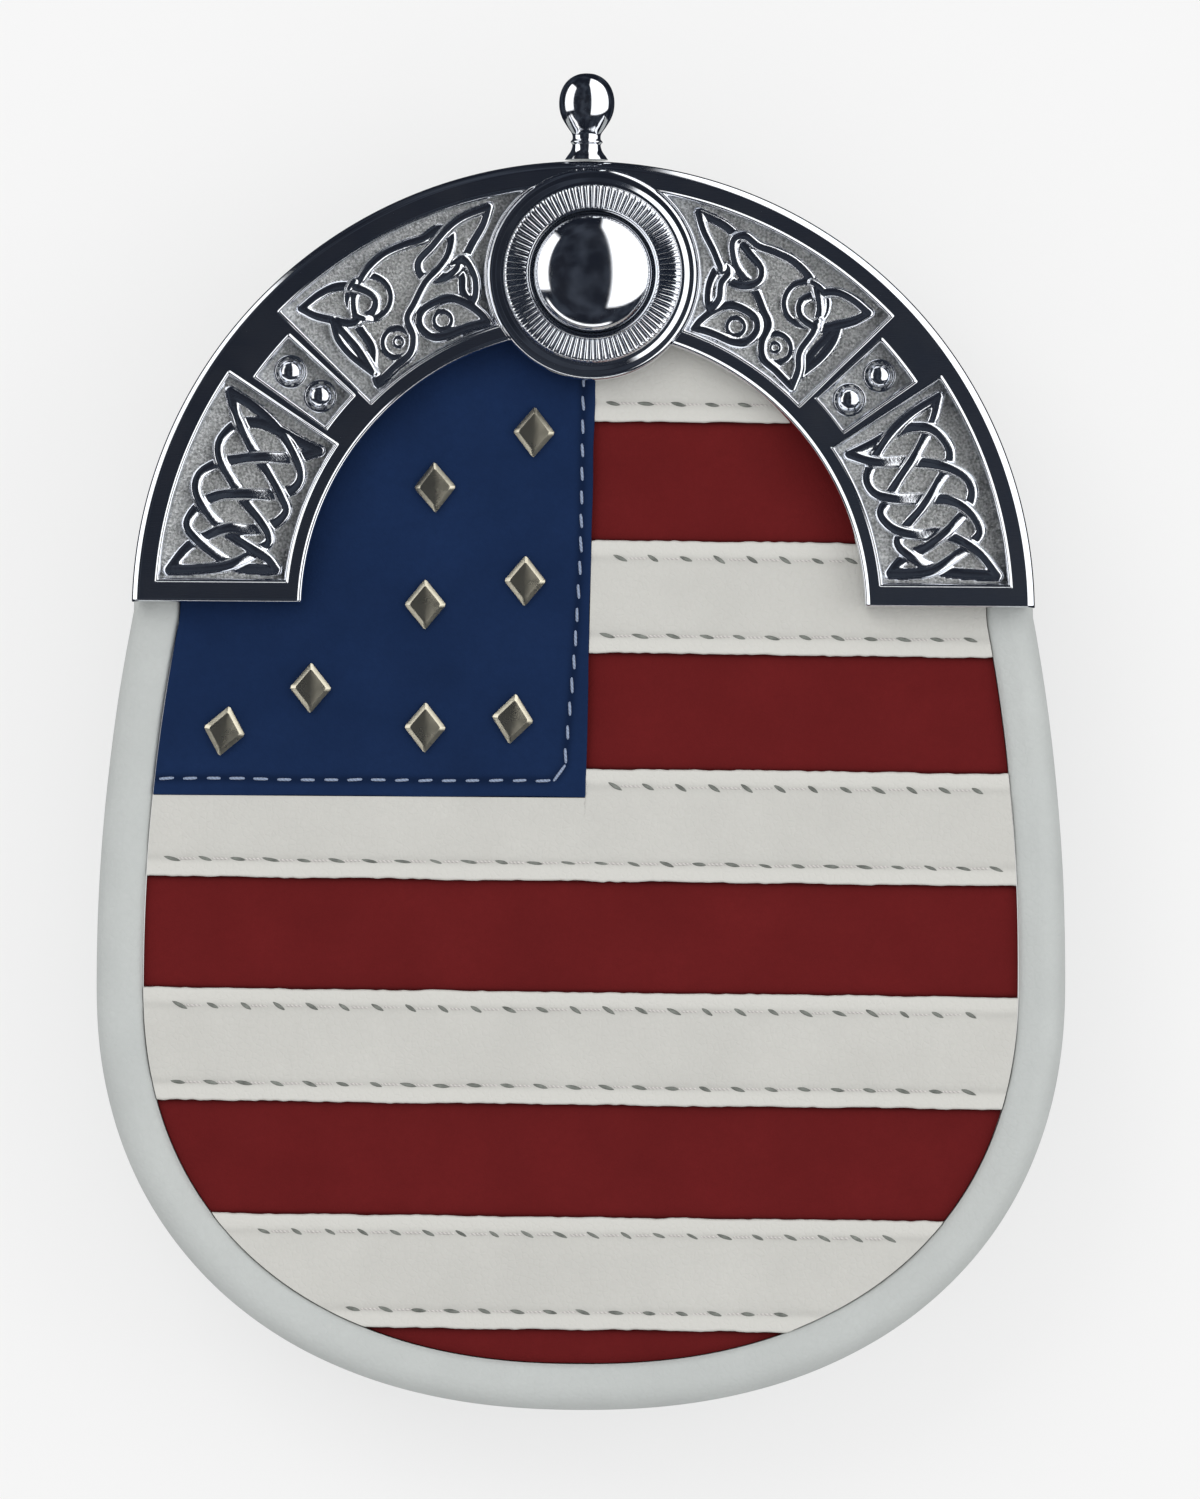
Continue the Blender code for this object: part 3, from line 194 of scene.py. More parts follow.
UPPER_LOOPS = [
    {"tips": [0], "points": [
        (0.03, 0.98), (0.13, 0.97), (0.22, 0.92), (0.31, 0.79), (0.37, 0.64), (0.32, 0.54), (0.19, 0.57),
        (0.12, 0.69), (0.06, 0.83),
    ]},
    {"tips": [0], "points": [
        (0.06, -0.02), (0.12, 0.14), (0.20, 0.28), (0.21, 0.51), (0.25, 0.70), (0.31, 0.82), (0.38, 0.90),
        (0.47, 0.94), (0.57, 0.93), (0.66, 0.91), (0.73, 0.94), (0.81, 0.85), (0.82, 0.69), (0.77, 0.60),
        (0.68, 0.53), (0.58, 0.40), (0.50, 0.31), (0.48, 0.14), (0.39, 0.02), (0.24, 0.00),
    ]},
    {"tips": [0], "points": [
        (0.94, 1.00), (0.84, 0.97), (0.78, 0.91), (0.72, 0.81), (0.65, 0.73), (0.66, 0.61), (0.74, 0.52),
        (0.83, 0.50), (0.91, 0.57), (0.95, 0.71), (0.97, 0.85),
    ]},
    {"tips": [0], "points": [
        (1.02, -0.04), (1.00, 0.05), (0.93, 0.18), (0.83, 0.29), (0.72, 0.32), (0.61, 0.30), (0.56, 0.20),
        (0.59, 0.06), (0.68, 0.00), (0.81, -0.01), (0.92, -0.02),
    ]},
    {"tips": [], "points": [
        (0.86, 0.57), (0.91, 0.45), (0.91, 0.31), (0.95, 0.20), (0.99, 0.24), (1.00, 0.38), (0.96, 0.52),
        (0.91, 0.60),
    ]},
    {"tips": [0, 3], "points": [
        (0.11, 0.71), (0.07, 0.55), (0.06, 0.35), (0.09, 0.10), (0.12, 0.32), (0.12, 0.50),
    ]},
]
UPPER_RINGS = [
    {"along": 0.34, "across": 0.67, "radius": 0.0037, "width": 0.0015},
    {"along": 0.36, "across": 0.17, "radius": 0.0025, "width": 0.0014},
    {"along": 0.37, "across": 0.17, "radius": 0.0008, "width": 0.0009},
    {"along": 0.72, "across": 0.14, "radius": 0.0015, "width": 0.0012},
]

# The finial's outline from its foot up: (radius as a share of the ball's, height as a share of the whole)
FINIAL_OUTLINE = [
    (0.78, 0.00), (0.70, 0.04), (0.57, 0.10), (0.51, 0.17), (0.58, 0.205), (0.51, 0.24), (0.53, 0.30),
    (0.70, 0.38), (0.87, 0.47), (0.97, 0.56), (1.00, 0.66), (0.96, 0.76), (0.83, 0.86), (0.60, 0.94),
    (0.30, 0.988), (0.00, 1.00),
]

# The gusset's outer face from the front to the back: (zone, inset and height as shares of that zone's own)
GUSSET_SECTION = [
    ("front", 1.00, 0.52), ("front", 0.90, 0.24), ("front", 0.70, 0.07), ("front", 0.46, 0.00),
    ("front", 0.24, 0.24), ("front", 0.08, 0.80), ("front", 0.00, 1.70), ("side", 0.10, 0.62),
    ("side", 0.18, 0.36), ("back", 0.10, 2.60), ("back", 0.20, 0.90), ("back", 0.55, 0.00),
    ("back", 1.00, 0.00),
]

# Each leather: the setting that holds its colour, the size and depth of its grain, how much its colour
# clouds, how pale a cut edge is beside it, and how it shines
LEATHERS = {
    "white_hide": {
        "colour": "white", "grain": 0.0011, "depth": 0.00007, "mottle": 0.045, "pale": 1.10,
        "roughness": 0.60, "gloss": 0.35,
    },
    "rim_hide": {
        "colour": "rim", "grain": 0.0013, "depth": 0.00006, "mottle": 0.05, "pale": 1.10,
        "roughness": 0.58, "gloss": 0.35,
    },
    "red_hide": {
        "colour": "red", "grain": 0.0009, "depth": 0.00004, "mottle": 0.10, "pale": 1.10,
        "roughness": 0.62, "gloss": 0.03,
    },
    "blue_hide": {
        "colour": "blue", "grain": 0.0009, "depth": 0.00004, "mottle": 0.14, "pale": 2.4,
        "roughness": 0.62, "gloss": 0.03,
    },
}
LEATHERS["back_hide"] = LEATHERS["rim_hide"]
METALS = {
    "polished_casting": {"colour": "chrome", "roughness": 0.045, "scratches": 0.000004},
    "stud_nickel": {"colour": "nickel", "roughness": 0.25, "scratches": 0.00001},
}

# The lit parts of the studio that the metal mirrors. Each fills the side of its planes where
# a x + b y + c z is over an offset
SOFTBOXES = [
    [(0.23, 0.72, 0.52, 0.0), (0.94, 0.0, -0.34, 0.0), (0.98, -0.17, 0.0, 0.0), (0.0, 0.0, 1.0, -0.22)],
    [(-0.28, 0.95, 0.11, 0.0), (-0.53, 0.0, -0.85, 0.0), (-0.74, -0.67, 0.0, 0.0), (0.0, 0.0, 1.0, -0.22)],
    [(-0.35, -0.94, 0.0, 0.75), (0.0, 0.0, -1.0, -0.20), (0.0, 0.0, 1.0, 0.04)],
]


def length(name, default, description):
    """A size that can be set, in metres."""
    return bpy.props.FloatProperty(
        name=name, description=description, default=default, precision=5, subtype="DISTANCE", unit="LENGTH"
    )


def colour(name, default, description):
    """A colour that can be set, as linear red, green and blue."""
    return bpy.props.FloatVectorProperty(
        name=name, description=description, default=default, size=3, min=0.0, max=1.0, subtype="COLOR"
    )


def share(name, default, description):
    """A plain number that can be set."""
    return bpy.props.FloatProperty(name=name, description=description, default=default)


class SporranMetal(bpy.types.PropertyGroup):
    """Sizes of the cast and pressed metal, and its colours."""

    bead_width: length("Bead Width", 0.00062, "Width of the raised line round each sunk panel")
    bead_height: length("Bead Height", 0.00032, "Height of the raised line round each sunk panel")
    fall_width: length("Outer Fall Width", 0.0012, "Width of the slope along the cantle's outer edge")
    ground_step: length("Ground Grain", 0.00042, "Size of the dimples in the sunk panels' ground")
    ground_depth: length("Ground Depth", 0.00015, "Depth of those dimples")
    strand_width: length("Strand Width", 0.0022, "Width of a strand in the lower panels")
    leaf_width: length("Leaf Strand Width", 0.0020, "Width of a strand in the upper panels")
    strand_height: length("Strand Height", 0.00085, "Height of an interlaced strand over its ground")
    weave_height: length("Weave Height", 0.00035, "How far a strand rises over and dips under another")
    reed_height: length("Reed Height", 0.0006, "Height of the reeds round the boss")
    stud_width: length("Stud Width", 0.0072, "Width of a diamond stud")
    stud_length: length("Stud Length", 0.0088, "Length of a diamond stud")
    stud_height: length("Stud Height", 0.0018, "Height of a diamond stud")
    chrome: colour("Chrome", (0.80, 0.82, 0.86), "Colour of the polished casting")
    ground: colour("Ground", (0.88, 0.90, 0.89), "Colour of the dimpled ground")
    nickel: colour("Stud Nickel", (0.63, 0.59, 0.47), "Colour of the diamond studs")


class SporranLeather(bpy.types.PropertyGroup):
    """Sizes of the leather pieces' details, and their colours."""

    edge_wander: length("Edge Wander", 0.00020, "How far a cut edge strays from its line")
    edge_round: length("Edge Rounding", 0.00050, "Width of the worn round along a cut edge")
    channel_depth: length("Channel Depth", 0.00022, "Depth of the channel that a seam pulls into the leather")
    channel_width: length("Channel Width", 0.00075, "Half the width of that channel")
    stripe_seam: length("Stripe Seam Inset", 0.0030, "Distance of a stripe's seam from its edge")
    canton_seam: length("Canton Seam Inset", 0.0027, "Distance of the canton's lower seam from its edge")
    canton_lift: length("Canton Lift", 0.00035, "How far the canton stands over the stripes")
    rim_wander: length("Rim Softness", 0.00022, "How far the rolled rim strays from its even shape")
    white: colour("White Leather", (0.566, 0.561, 0.530), "Colour of the stripes")
    rim: colour("Rim Leather", (0.505, 0.527, 0.517), "Colour of the rolled rim and the back")
    red: colour("Red Leather", (0.128, 0.0118, 0.0128), "Colour of the red base")
    blue: colour("Blue Leather", (0.0092, 0.0232, 0.0720), "Colour of the canton")


class SporranThread(bpy.types.PropertyGroup):
    """Sizes of the seams, the thread's colours, and the colour of the slits' painted shadow."""

    stripe_pitch: length("Stripe Stitch Pitch", 0.0056, "Distance between the stripes' stitches")
    stripe_slit: length("Slit Length", 0.0027, "Length of the awl slit at each end of a stripe's stitch")
    stripe_slit_width: length("Slit Width", 0.00066, "Width of that slit")
    upper_slant: share("Upper Slit Slant", -28.0, "Turn of the slits in a stripe's upper seam, in degrees")
    lower_slant: share("Lower Slit Slant", -13.0, "Turn of the slits in a stripe's lower seam, in degrees")
    canton_pitch: length("Canton Stitch Pitch", 0.0040, "Distance between the canton's stitches")
    canton_stitch: length("Canton Stitch Length", 0.0029, "Length of a canton stitch")
    corner_stitch: length("Corner Stitch Length", 0.0040, "Length of the stitch across the canton's corner")
    thickness: length("Thread Thickness", 0.00050, "Thickness of the thread")
    pale: colour("Pale Thread", (0.25, 0.31, 0.44), "Colour of the canton's thread")
    white: colour("White Thread", (0.56, 0.54, 0.52), "Colour of the stripes' thread")
    # The slits' colour is painted shadow: the dark of each awl hole, put on a lens that lies in the seam.
    slit: colour("Slit", (0.165, 0.175, 0.160), "Colour of the shaded awl slits")


class SporranStage(bpy.types.PropertyGroup):
    """The camera, the lights and the floor."""

    lens: share("Lens", 260.0, "Focal length in millimetres")
    height: length("Camera Height", 1.8762, "Height of the camera over the floor")
    aim_x: length("Aim X", 0.0030, "Place of the camera to the right")
    aim_y: length("Aim Y", -0.0011, "Place of the camera towards the finial")
    roll: share("Roll", 0.4, "Turn of the camera round its line of sight, in degrees")
    box_strength: share("Softbox Strength", 1.75, "Brightness of the softboxes in the metal")
    room_strength: share("Room Strength", 0.96, "Brightness of the even light on the leather")
    floor: colour("Floor", (0.34, 0.34, 0.34), "Colour of the floor")
    floor_glow: share("Floor Glow", 0.56, "Light that the floor gives by itself")


def half_width(y):
    """Half the pouch's width at a height: the cantle's circle, a long flank, then a full round bottom."""
    arch = np.sqrt(np.maximum(CANTLE_RADIUS**2 - y**2, 0.0))
    rise = (y + POUCH_WIDEST_DROP) / POUCH_WIDEST_DROP
    narrowing = 1 - (CANTLE_RADIUS / POUCH_HALF_WIDTH) ** 2
    flank = POUCH_HALF_WIDTH * np.sqrt(np.maximum(1 - narrowing * rise**2, 0.0))
    fall = np.clip(-(y + POUCH_WIDEST_DROP) / (POUCH_BOTTOM_DROP - POUCH_WIDEST_DROP), 0.0, 1.0)
    bottom = POUCH_HALF_WIDTH * (1 - fall**POUCH_LOWER_POWER) ** (1 / POUCH_LOWER_POWER)
    return np.where(y >= 0, arch, np.where(y >= -POUCH_WIDEST_DROP, flank, bottom))


def back_face(y):
    """Height of the back leather's outer face."""
    rise = np.maximum((y + BACK_FLAT_DROP) / (CANTLE_RADIUS + BACK_FLAT_DROP), 0.0)
    return BACK_RISE * rise**BACK_RISE_POWER


def front_face(x, y):
    """Height of the red leather's face, gently crowned."""
    half_length = (CANTLE_RADIUS + POUCH_BOTTOM_DROP) / 2
    along = (y - CANTLE_RADIUS + half_length) / half_length
    across = x / POUCH_HALF_WIDTH
    return FRONT_PANEL_Z + PANEL_CROWN * np.maximum(0.0, 1 - along**2) * np.maximum(0.0, 1 - across**2)


def overlay_top(x, y):
    """Height of the stripes' upper face before it is sewn down."""
    return front_face(x, y) + PIECE_GAP + STRIPE_LEATHER


def canton_right(y):
    """Where the canton's right edge runs."""
    rise = (y - CANTON_BOTTOM) / (CANTON_TOP - CANTON_BOTTOM)
    return CANTON_RIGHT_AT_BOTTOM + rise * (CANTON_RIGHT_AT_TOP - CANTON_RIGHT_AT_BOTTOM)


def evenly(line, count, closed=False):
    """A line through points, as that many evenly spaced points."""
    line = np.asarray(line, float)
    if closed:
        line = np.vstack([line, line[:1]])
    steps = np.hypot(*np.diff(line[:, :2], axis=0).T)
    reach = np.concatenate([[0.0], np.cumsum(steps)])
    places = np.linspace(0.0, reach[-1], count, endpoint=not closed)
    return np.stack([np.interp(places, reach, line[:, axis]) for axis in range(line.shape[1])], axis=1)


def pouch_outline(count):
    """The pouch's outline from its lowest point, anticlockwise, evenly spaced."""
    turn = np.linspace(0.0, math.pi / 2, 400)
    power = 2 / POUCH_LOWER_POWER
    low_y = -POUCH_WIDEST_DROP - (POUCH_BOTTOM_DROP - POUCH_WIDEST_DROP) * np.cos(turn) ** power
    bottom = np.stack([POUCH_HALF_WIDTH * np.sin(turn) ** power, low_y], axis=1)
    flank_y = np.linspace(-POUCH_WIDEST_DROP, 0.0, 120)[1:-1]
    flank = np.stack([half_width(flank_y), flank_y], axis=1)
    arch = CANTLE_RADIUS * np.stack([np.cos(turn), np.sin(turn)], axis=1)
    right = np.vstack([bottom, flank, arch])
    left = right[-2:0:-1] * (-1, 1)
    return evenly(np.vstack([right, left]), count, closed=True)


def stacked(x, y, z):
    """Points from their coordinates."""
    return np.stack([x, y, z], axis=-1)


def full_turn(count):
    """That many even angles round a circle."""
    return np.arange(count) * 2 * math.pi / count


def side_normals(line):
    """Unit normals on the left of a closed line of points."""
    along = np.roll(line, -1, axis=0) - np.roll(line, 1, axis=0)
    along /= np.linalg.norm(along, axis=1)[:, None]
    return np.stack([-along[:, 1], along[:, 0]], axis=1)


def inset_outline(distance, count=720):
    """The pouch's outline, moved inwards."""
    outline = pouch_outline(count)
    return outline + side_normals(outline) * distance


def seam_limit(y):
    """Half the width, at a height, of the room inside the rolled rim."""
    line = inset_outline(RIM_WIDTH + SEWN_GAP)
    right = line[line[:, 0] >= 0]
    order = np.argsort(right[:, 1])
    return np.interp(y, right[order, 1], right[order, 0])


def smooth_step(value, low, high):
    """0 below a low limit and 1 over a high one, with a smooth rise between."""
    t = np.clip((value - low) / (high - low), 0.0, 1.0)
    return t * t * (3 - 2 * t)


def quarter_round(near):
    """How far a quarter round has fallen, from 0 where near is 0 to 1 where it is 1."""
    return 1 - np.sqrt(1 - np.clip(near, 0.0, 1.0) ** 2)


def wander(places, step, seed):
    """A smooth random line between -1 and 1, with a bend every step."""
    spots = np.asarray(places, float) / step
    first = math.floor(spots.min())
    knots = np.random.default_rng(seed).uniform(-1, 1, math.ceil(spots.max()) - first + 2)
    cell = np.floor(spots).astype(int)
    t = smooth_step(spots - cell, 0.0, 1.0)
    return knots[cell - first] * (1 - t) + knots[cell - first + 1] * t


def dimples(x, y, step, seed):
    """A smooth random surface between -1 and 1, with a bump every step."""
    i, k = x / step, y / step
    low_i, low_k = math.floor(i.min()), math.floor(k.min())
    size = (math.ceil(i.max()) - low_i + 2, math.ceil(k.max()) - low_k + 2)
    knots = np.random.default_rng(seed).uniform(-1, 1, size)
    a, b = np.floor(i).astype(int), np.floor(k).astype(int)
    s, t = smooth_step(i - a, 0.0, 1.0), smooth_step(k - b, 0.0, 1.0)
    a, b = a - low_i, b - low_k
    low = knots[a, b] * (1 - s) + knots[a + 1, b] * s
    high = knots[a, b + 1] * (1 - s) + knots[a + 1, b + 1] * s
    return low * (1 - t) + high * t


def curve_between(start, leave, end, arrive, t):
    """A share of the way along the smooth curve between two points with given ways at its ends."""
    return (
        start * (2 * t**3 - 3 * t**2 + 1)
        + leave * (t**3 - 2 * t**2 + t)
        + end * (3 * t**2 - 2 * t**3)
        + arrive * (t**3 - t**2)
    )


def through(controls, count):
    """A smooth open line through control points, as that many points. The last axis holds coordinates."""
    controls = np.asarray(controls, float)
    places = np.linspace(0.0, controls.shape[-2] - 1 - 1e-9, count)
    k = places.astype(int)
    t = (places - k)[:, None]
    last = controls.shape[-2] - 1
    before, here = controls[..., np.maximum(k - 1, 0), :], controls[..., k, :]
    there, beyond = controls[..., k + 1, :], controls[..., np.minimum(k + 2, last), :]
    return curve_between(here, (there - before) / 2, there, (beyond - here) / 2, t)


def grid_faces(rows, columns, wrap_rows=False, wrap_columns=False):
    """Quads between neighbours in a grid of points, which may close on itself either way."""
    i = np.arange(rows if wrap_rows else rows - 1)
    k = np.arange(columns if wrap_columns else columns - 1)
    i, k = (axis.ravel() for axis in np.meshgrid(i, k, indexing="ij"))
    below, after = (i + 1) % rows, (k + 1) % columns
    quads = [i * columns + k, i * columns + after, below * columns + after, below * columns + k]
    return np.stack(quads, axis=1).tolist()


def bridged(sections, closed=False):
    """Points and faces of a body through like closed sections. An open run gets flat ends."""
    runs, around = sections.shape[:2]
    faces = grid_faces(runs, around, wrap_rows=closed, wrap_columns=True)
    if not closed:
        faces.append(list(range(around)))
        faces.append(list(range((runs - 1) * around, runs * around)))
    return sections.reshape(-1, 3), faces


def turned(profile, steps, place):
    """A body turned round an axis from (radius, height) rows that start and end on the axis."""
    turns = full_turn(steps)
    middle = np.asarray(profile[1:-1], float)
    radius, height = middle[:, :1], np.repeat(middle[:, 1:], steps, axis=1)
    rings = place(radius * np.cos(turns), radius * np.sin(turns), height)
    count = len(middle) * steps
    ends = [place(np.zeros(1), np.zeros(1), np.full(1, row[1])) for row in (profile[0], profile[-1])]
    points = np.vstack([rings.reshape(-1, 3), *ends])
    faces = grid_faces(len(middle), steps, wrap_columns=True)
    last = (len(middle) - 1) * steps
    for k in range(steps):
        after = (k + 1) % steps
        faces.append([count, after, k])
        faces.append([count + 1, last + k, last + after])
    return points, faces


def dome_profile(reach, base, rise, steps):
    """A dome's (radius, height) rows, from its edge up to its middle."""
    turn = np.linspace(0.0, math.pi / 2, steps)
    rows = [(reach * math.cos(a), base + rise * math.sin(a)) for a in turn]
    return rows[:-1] + [(0.0, rows[-1][1])]


def joined(parts):
    """Several (points, faces) as one."""
    points, faces = [], []
    start = 0
    for own_points, own_faces in parts:
        points.append(own_points)
        faces += [[start + corner for corner in face] for face in own_faces]
        start += len(own_points)
    return np.vstack(points), faces


def face_outwards(mesh):
    """Turns a mesh's faces outwards."""
    shape = bmesh.new()
    shape.from_mesh(mesh)
    bmesh.ops.recalc_face_normals(shape, faces=shape.faces)
    shape.to_mesh(mesh)
    shape.free()


def plain_mesh(name, points, faces):
    """A mesh with its faces turned outwards."""
    mesh = bpy.data.meshes.new(name)
    mesh.from_pydata(np.asarray(points).tolist(), [], faces)
    face_outwards(mesh)
    mesh.shade_smooth()
    return mesh


def settle(name, mesh, finish, nodes):
    """A finished piece from its mesh: it rides on the pouch and stands for its CAD nodes."""
    mesh.materials.clear()
    mesh.materials.append(finish_named(finish))
    piece = bpy.data.objects.new(name, mesh)
    bpy.context.scene.collection.objects.link(piece)
    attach(piece, "root")
    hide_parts(*nodes)
    return piece


def make_piece(name, points, faces, finish, nodes, sharp=None, values=None):
    """A piece from points about the cantle's centre. Edges that turn by more than sharp, in degrees, stay
    crisp. values holds numbers for each point, by name."""
    mesh = plain_mesh(name, np.asarray(points) + (0.0, CENTRE_Y, 0.0), faces)
    if sharp:
        mesh.set_sharp_from_angle(angle=math.radians(sharp))
    for label, numbers in (values or {}).items():
        layer = mesh.attributes.new(label, "FLOAT", "POINT")
        layer.data.foreach_set("value", np.asarray(numbers, np.float32).ravel())
    return settle(name, mesh, finish, nodes)


class Desk:
    """Lays out a node tree: adds nodes, fills their sockets and joins them."""

    def __init__(self, tree):
        self.tree = tree
        tree.nodes.clear()

    def fill(self, node, sockets):
        """Sets each socket to its value, or joins it to the socket that is given."""
        for key, value in sockets.items():
            if isinstance(value, bpy.types.NodeSocket):
                self.tree.links.new(value, node.inputs[key])
            else:
                node.inputs[key].default_value = value

    def add(self, kind, sockets=None, **settings):
        node = self.tree.nodes.new(kind)
        for key, value in settings.items():
            setattr(node, key, value)
        self.fill(node, sockets or {})
        return node

    def math(self, operation, *values):
        return self.add("ShaderNodeMath", dict(enumerate(values)), operation=operation).outputs[0]

    def blend(self, factor, first, second):
        """A colour between two colours."""
        sockets = {0: factor, 6: first, 7: second}
        return self.add("ShaderNodeMix", sockets, data_type="RGBA").outputs[2]

    def noise(self, place, scale, detail=3.0, roughness=0.5):
        sockets = {"Vector": place, "Scale": scale, "Detail": detail, "Roughness": roughness}
        return self.add("ShaderNodeTexNoise", sockets).outputs["Fac"]

    def remap(self, value, low, high, to_low=0.0, to_high=1.0):
        sockets = {0: value, 1: low, 2: high, 3: to_low, 4: to_high}
        return self.add("ShaderNodeMapRange", sockets).outputs[0]

    def attribute(self, name):
        return self.add("ShaderNodeAttribute", attribute_name=name).outputs["Fac"]

    def bump(self, height, distance):
        return self.add("ShaderNodeBump", {"Height": height, "Distance": distance}).outputs["Normal"]


def new_finish(name):
    """An empty material with its desk, its shader and the object's own coordinates."""
    made = bpy.data.materials.new(name)
    made.use_nodes = True
    desk = Desk(made.node_tree)
    shader = desk.add("ShaderNodeBsdfPrincipled")
    desk.add("ShaderNodeOutputMaterial", {"Surface": shader.outputs[0]})
    place = desk.add("ShaderNodeTexCoord").outputs["Object"]
    return made, desk, shader, place


def rgb(values, factor=1.0):
    """A colour, lightened or darkened, with its alpha."""
    return tuple(min(value * factor, 1.0) for value in values) + (1.0,)


def leather_finish(name):
    """Dyed leather: pores and creases as relief, faint clouds of colour, paler cut edges, painted shade in
    hollows.
    """
    kind = LEATHERS[name]
    base = getattr(bpy.context.scene.sporran_leather, kind["colour"])
    grain, mottle, roughness = kind["grain"], kind["mottle"], kind["roughness"]
    made, desk, shader, place = new_finish(name)
    clouds = desk.remap(desk.noise(place, 60.0, 4.0, 0.6), 0.32, 0.70)
    tone = desk.blend(clouds, rgb(base, 1 - mottle), rgb(base, 1 + mottle * 0.6))
    fine = desk.remap(desk.noise(place, 900.0, 3.0, 0.6), 0.35, 0.75)
    fine = desk.math("MULTIPLY", fine, 0.35)
    tone = desk.blend(fine, tone, rgb(base, 1 - mottle * 1.6))
    tone = desk.blend(desk.attribute("pale"), tone, rgb(base, kind["pale"]))
    # Painted shade: a value at each point darkens the colour in seam channels and beside the stripes' edges.
    tone = desk.blend(desk.attribute("deep"), tone, rgb(base, 0.45))
    cells = {"Vector": place, "Scale": 1 / grain}
    cells = desk.add("ShaderNodeTexVoronoi", cells, feature="DISTANCE_TO_EDGE").outputs["Distance"]
    pores = desk.math("MULTIPLY", desk.remap(cells, 0.0, 0.22), 0.5)
    creases = desk.noise(place, 0.35 / grain, 5.0, 0.65)
    normal = desk.bump(desk.math("ADD", pores, creases), kind["depth"])
    sheen = desk.remap(desk.noise(place, 140.0, 2.0), 0.3, 0.7, roughness - 0.06, roughness + 0.08)
    desk.fill(shader, {"Base Color": tone, "Normal": normal, "Roughness": sheen})
    desk.fill(shader, {"Specular IOR Level": kind["gloss"]})
    return made


def thread_finish(name):
    """Twisted thread: fine slanted ridges with painted shade in the grooves between them, and a soft sheen.
    """
    thread = bpy.context.scene.sporran_thread
    base = thread.pale if name == "pale_thread" else thread.white
    made, desk, shader, place = new_finish(name)
    sockets = {"Vector": place, "Scale": 900.0, "Distortion": 1.5}
    twist = desk.add("ShaderNodeTexWave", sockets, bands_direction="DIAGONAL").outputs["Fac"]
    # Painted shade: the colour follows the twist's relief, darker in its grooves and lighter on its ridges.
    tone = desk.blend(desk.remap(twist, 0.2, 0.8), rgb(base, 0.82), rgb(base, 1.12))
    normal = desk.bump(twist, 0.00006)
    desk.fill(shader, {"Base Color": tone, "Normal": normal, "Roughness": 0.55, "Sheen Weight": 0.25})
    return made


def slit_shadow_finish(name):
    """The painted shadow of an awl slit: a dark colour that stands for the shade inside it."""
    base = bpy.context.scene.sporran_thread.slit
    made, desk, shader, place = new_finish(name)
    tone = desk.blend(desk.remap(desk.noise(place, 700.0), 0.3, 0.7), rgb(base, 0.7), rgb(base, 1.4))
    desk.fill(shader, {"Base Color": tone, "Roughness": 0.9, "Specular IOR Level": 0.1})
    return made


def metal_finish(name):
    """Polished plated metal: a clear mirror with faint haze and hairline scratches."""
    kind = METALS[name]
    base, roughness = getattr(bpy.context.scene.sporran_metal, kind["colour"]), kind["roughness"]
    made, desk, shader, place = new_finish(name)
    haze = desk.noise(place, 120.0, 4.0, 0.6)
    tone = desk.blend(desk.remap(haze, 0.3, 0.75), rgb(base), rgb(base, 0.86))
    worn = desk.remap(haze, 0.35, 0.8, roughness, roughness + 0.09)
    stretched = desk.add("ShaderNodeMapping", {"Vector": place, "Scale": (1.0, 9.0, 1.0)}).outputs[0]
    normal = desk.bump(desk.noise(stretched, 500.0, 3.0, 0.7), kind["scratches"])
    desk.fill(shader, {"Base Color": tone, "Metallic": 1.0, "Roughness": worn, "Normal": normal})
    return made


def ground_finish(name):
    """The panels' casting: polished strands over a dimpled satin ground."""
    settings = bpy.context.scene.sporran_metal
    made, desk, shader, place = new_finish(name)
    ground = desk.attribute("ground")
    specks = desk.noise(place, 2600.0, 3.0, 0.7)
    spots = desk.remap(desk.noise(place, 2400.0, 3.0), 0.36, 0.62)
    dull = desk.blend(spots, rgb(settings.ground, 0.55), rgb(settings.ground, 1.13))
    tone = desk.blend(ground, rgb(settings.chrome), dull)
    rough = desk.remap(ground, 0.0, 1.0, 0.08, 0.33)
    relief = desk.math("MULTIPLY", specks, desk.remap(ground, 0.0, 1.0, 0.02, 1.0))
    normal = desk.bump(relief, 0.0008)
    desk.fill(shader, {"Base Color": tone, "Metallic": 1.0, "Roughness": rough, "Normal": normal})
    return made


def finish_named(name):
    """A material by name, made the first time that it is asked for."""
    made = bpy.data.materials.get(name)
    if made:
        return made
    if name in LEATHERS:
        return leather_finish(name)
    if name in METALS:
        return metal_finish(name)
    return OTHER_FINISHES[name](name)


OTHER_FINISHES = {
    "white_thread": thread_finish,
    "pale_thread": thread_finish,
    "awl_slit": slit_shadow_finish,
    "dimpled_casting": ground_finish,
}


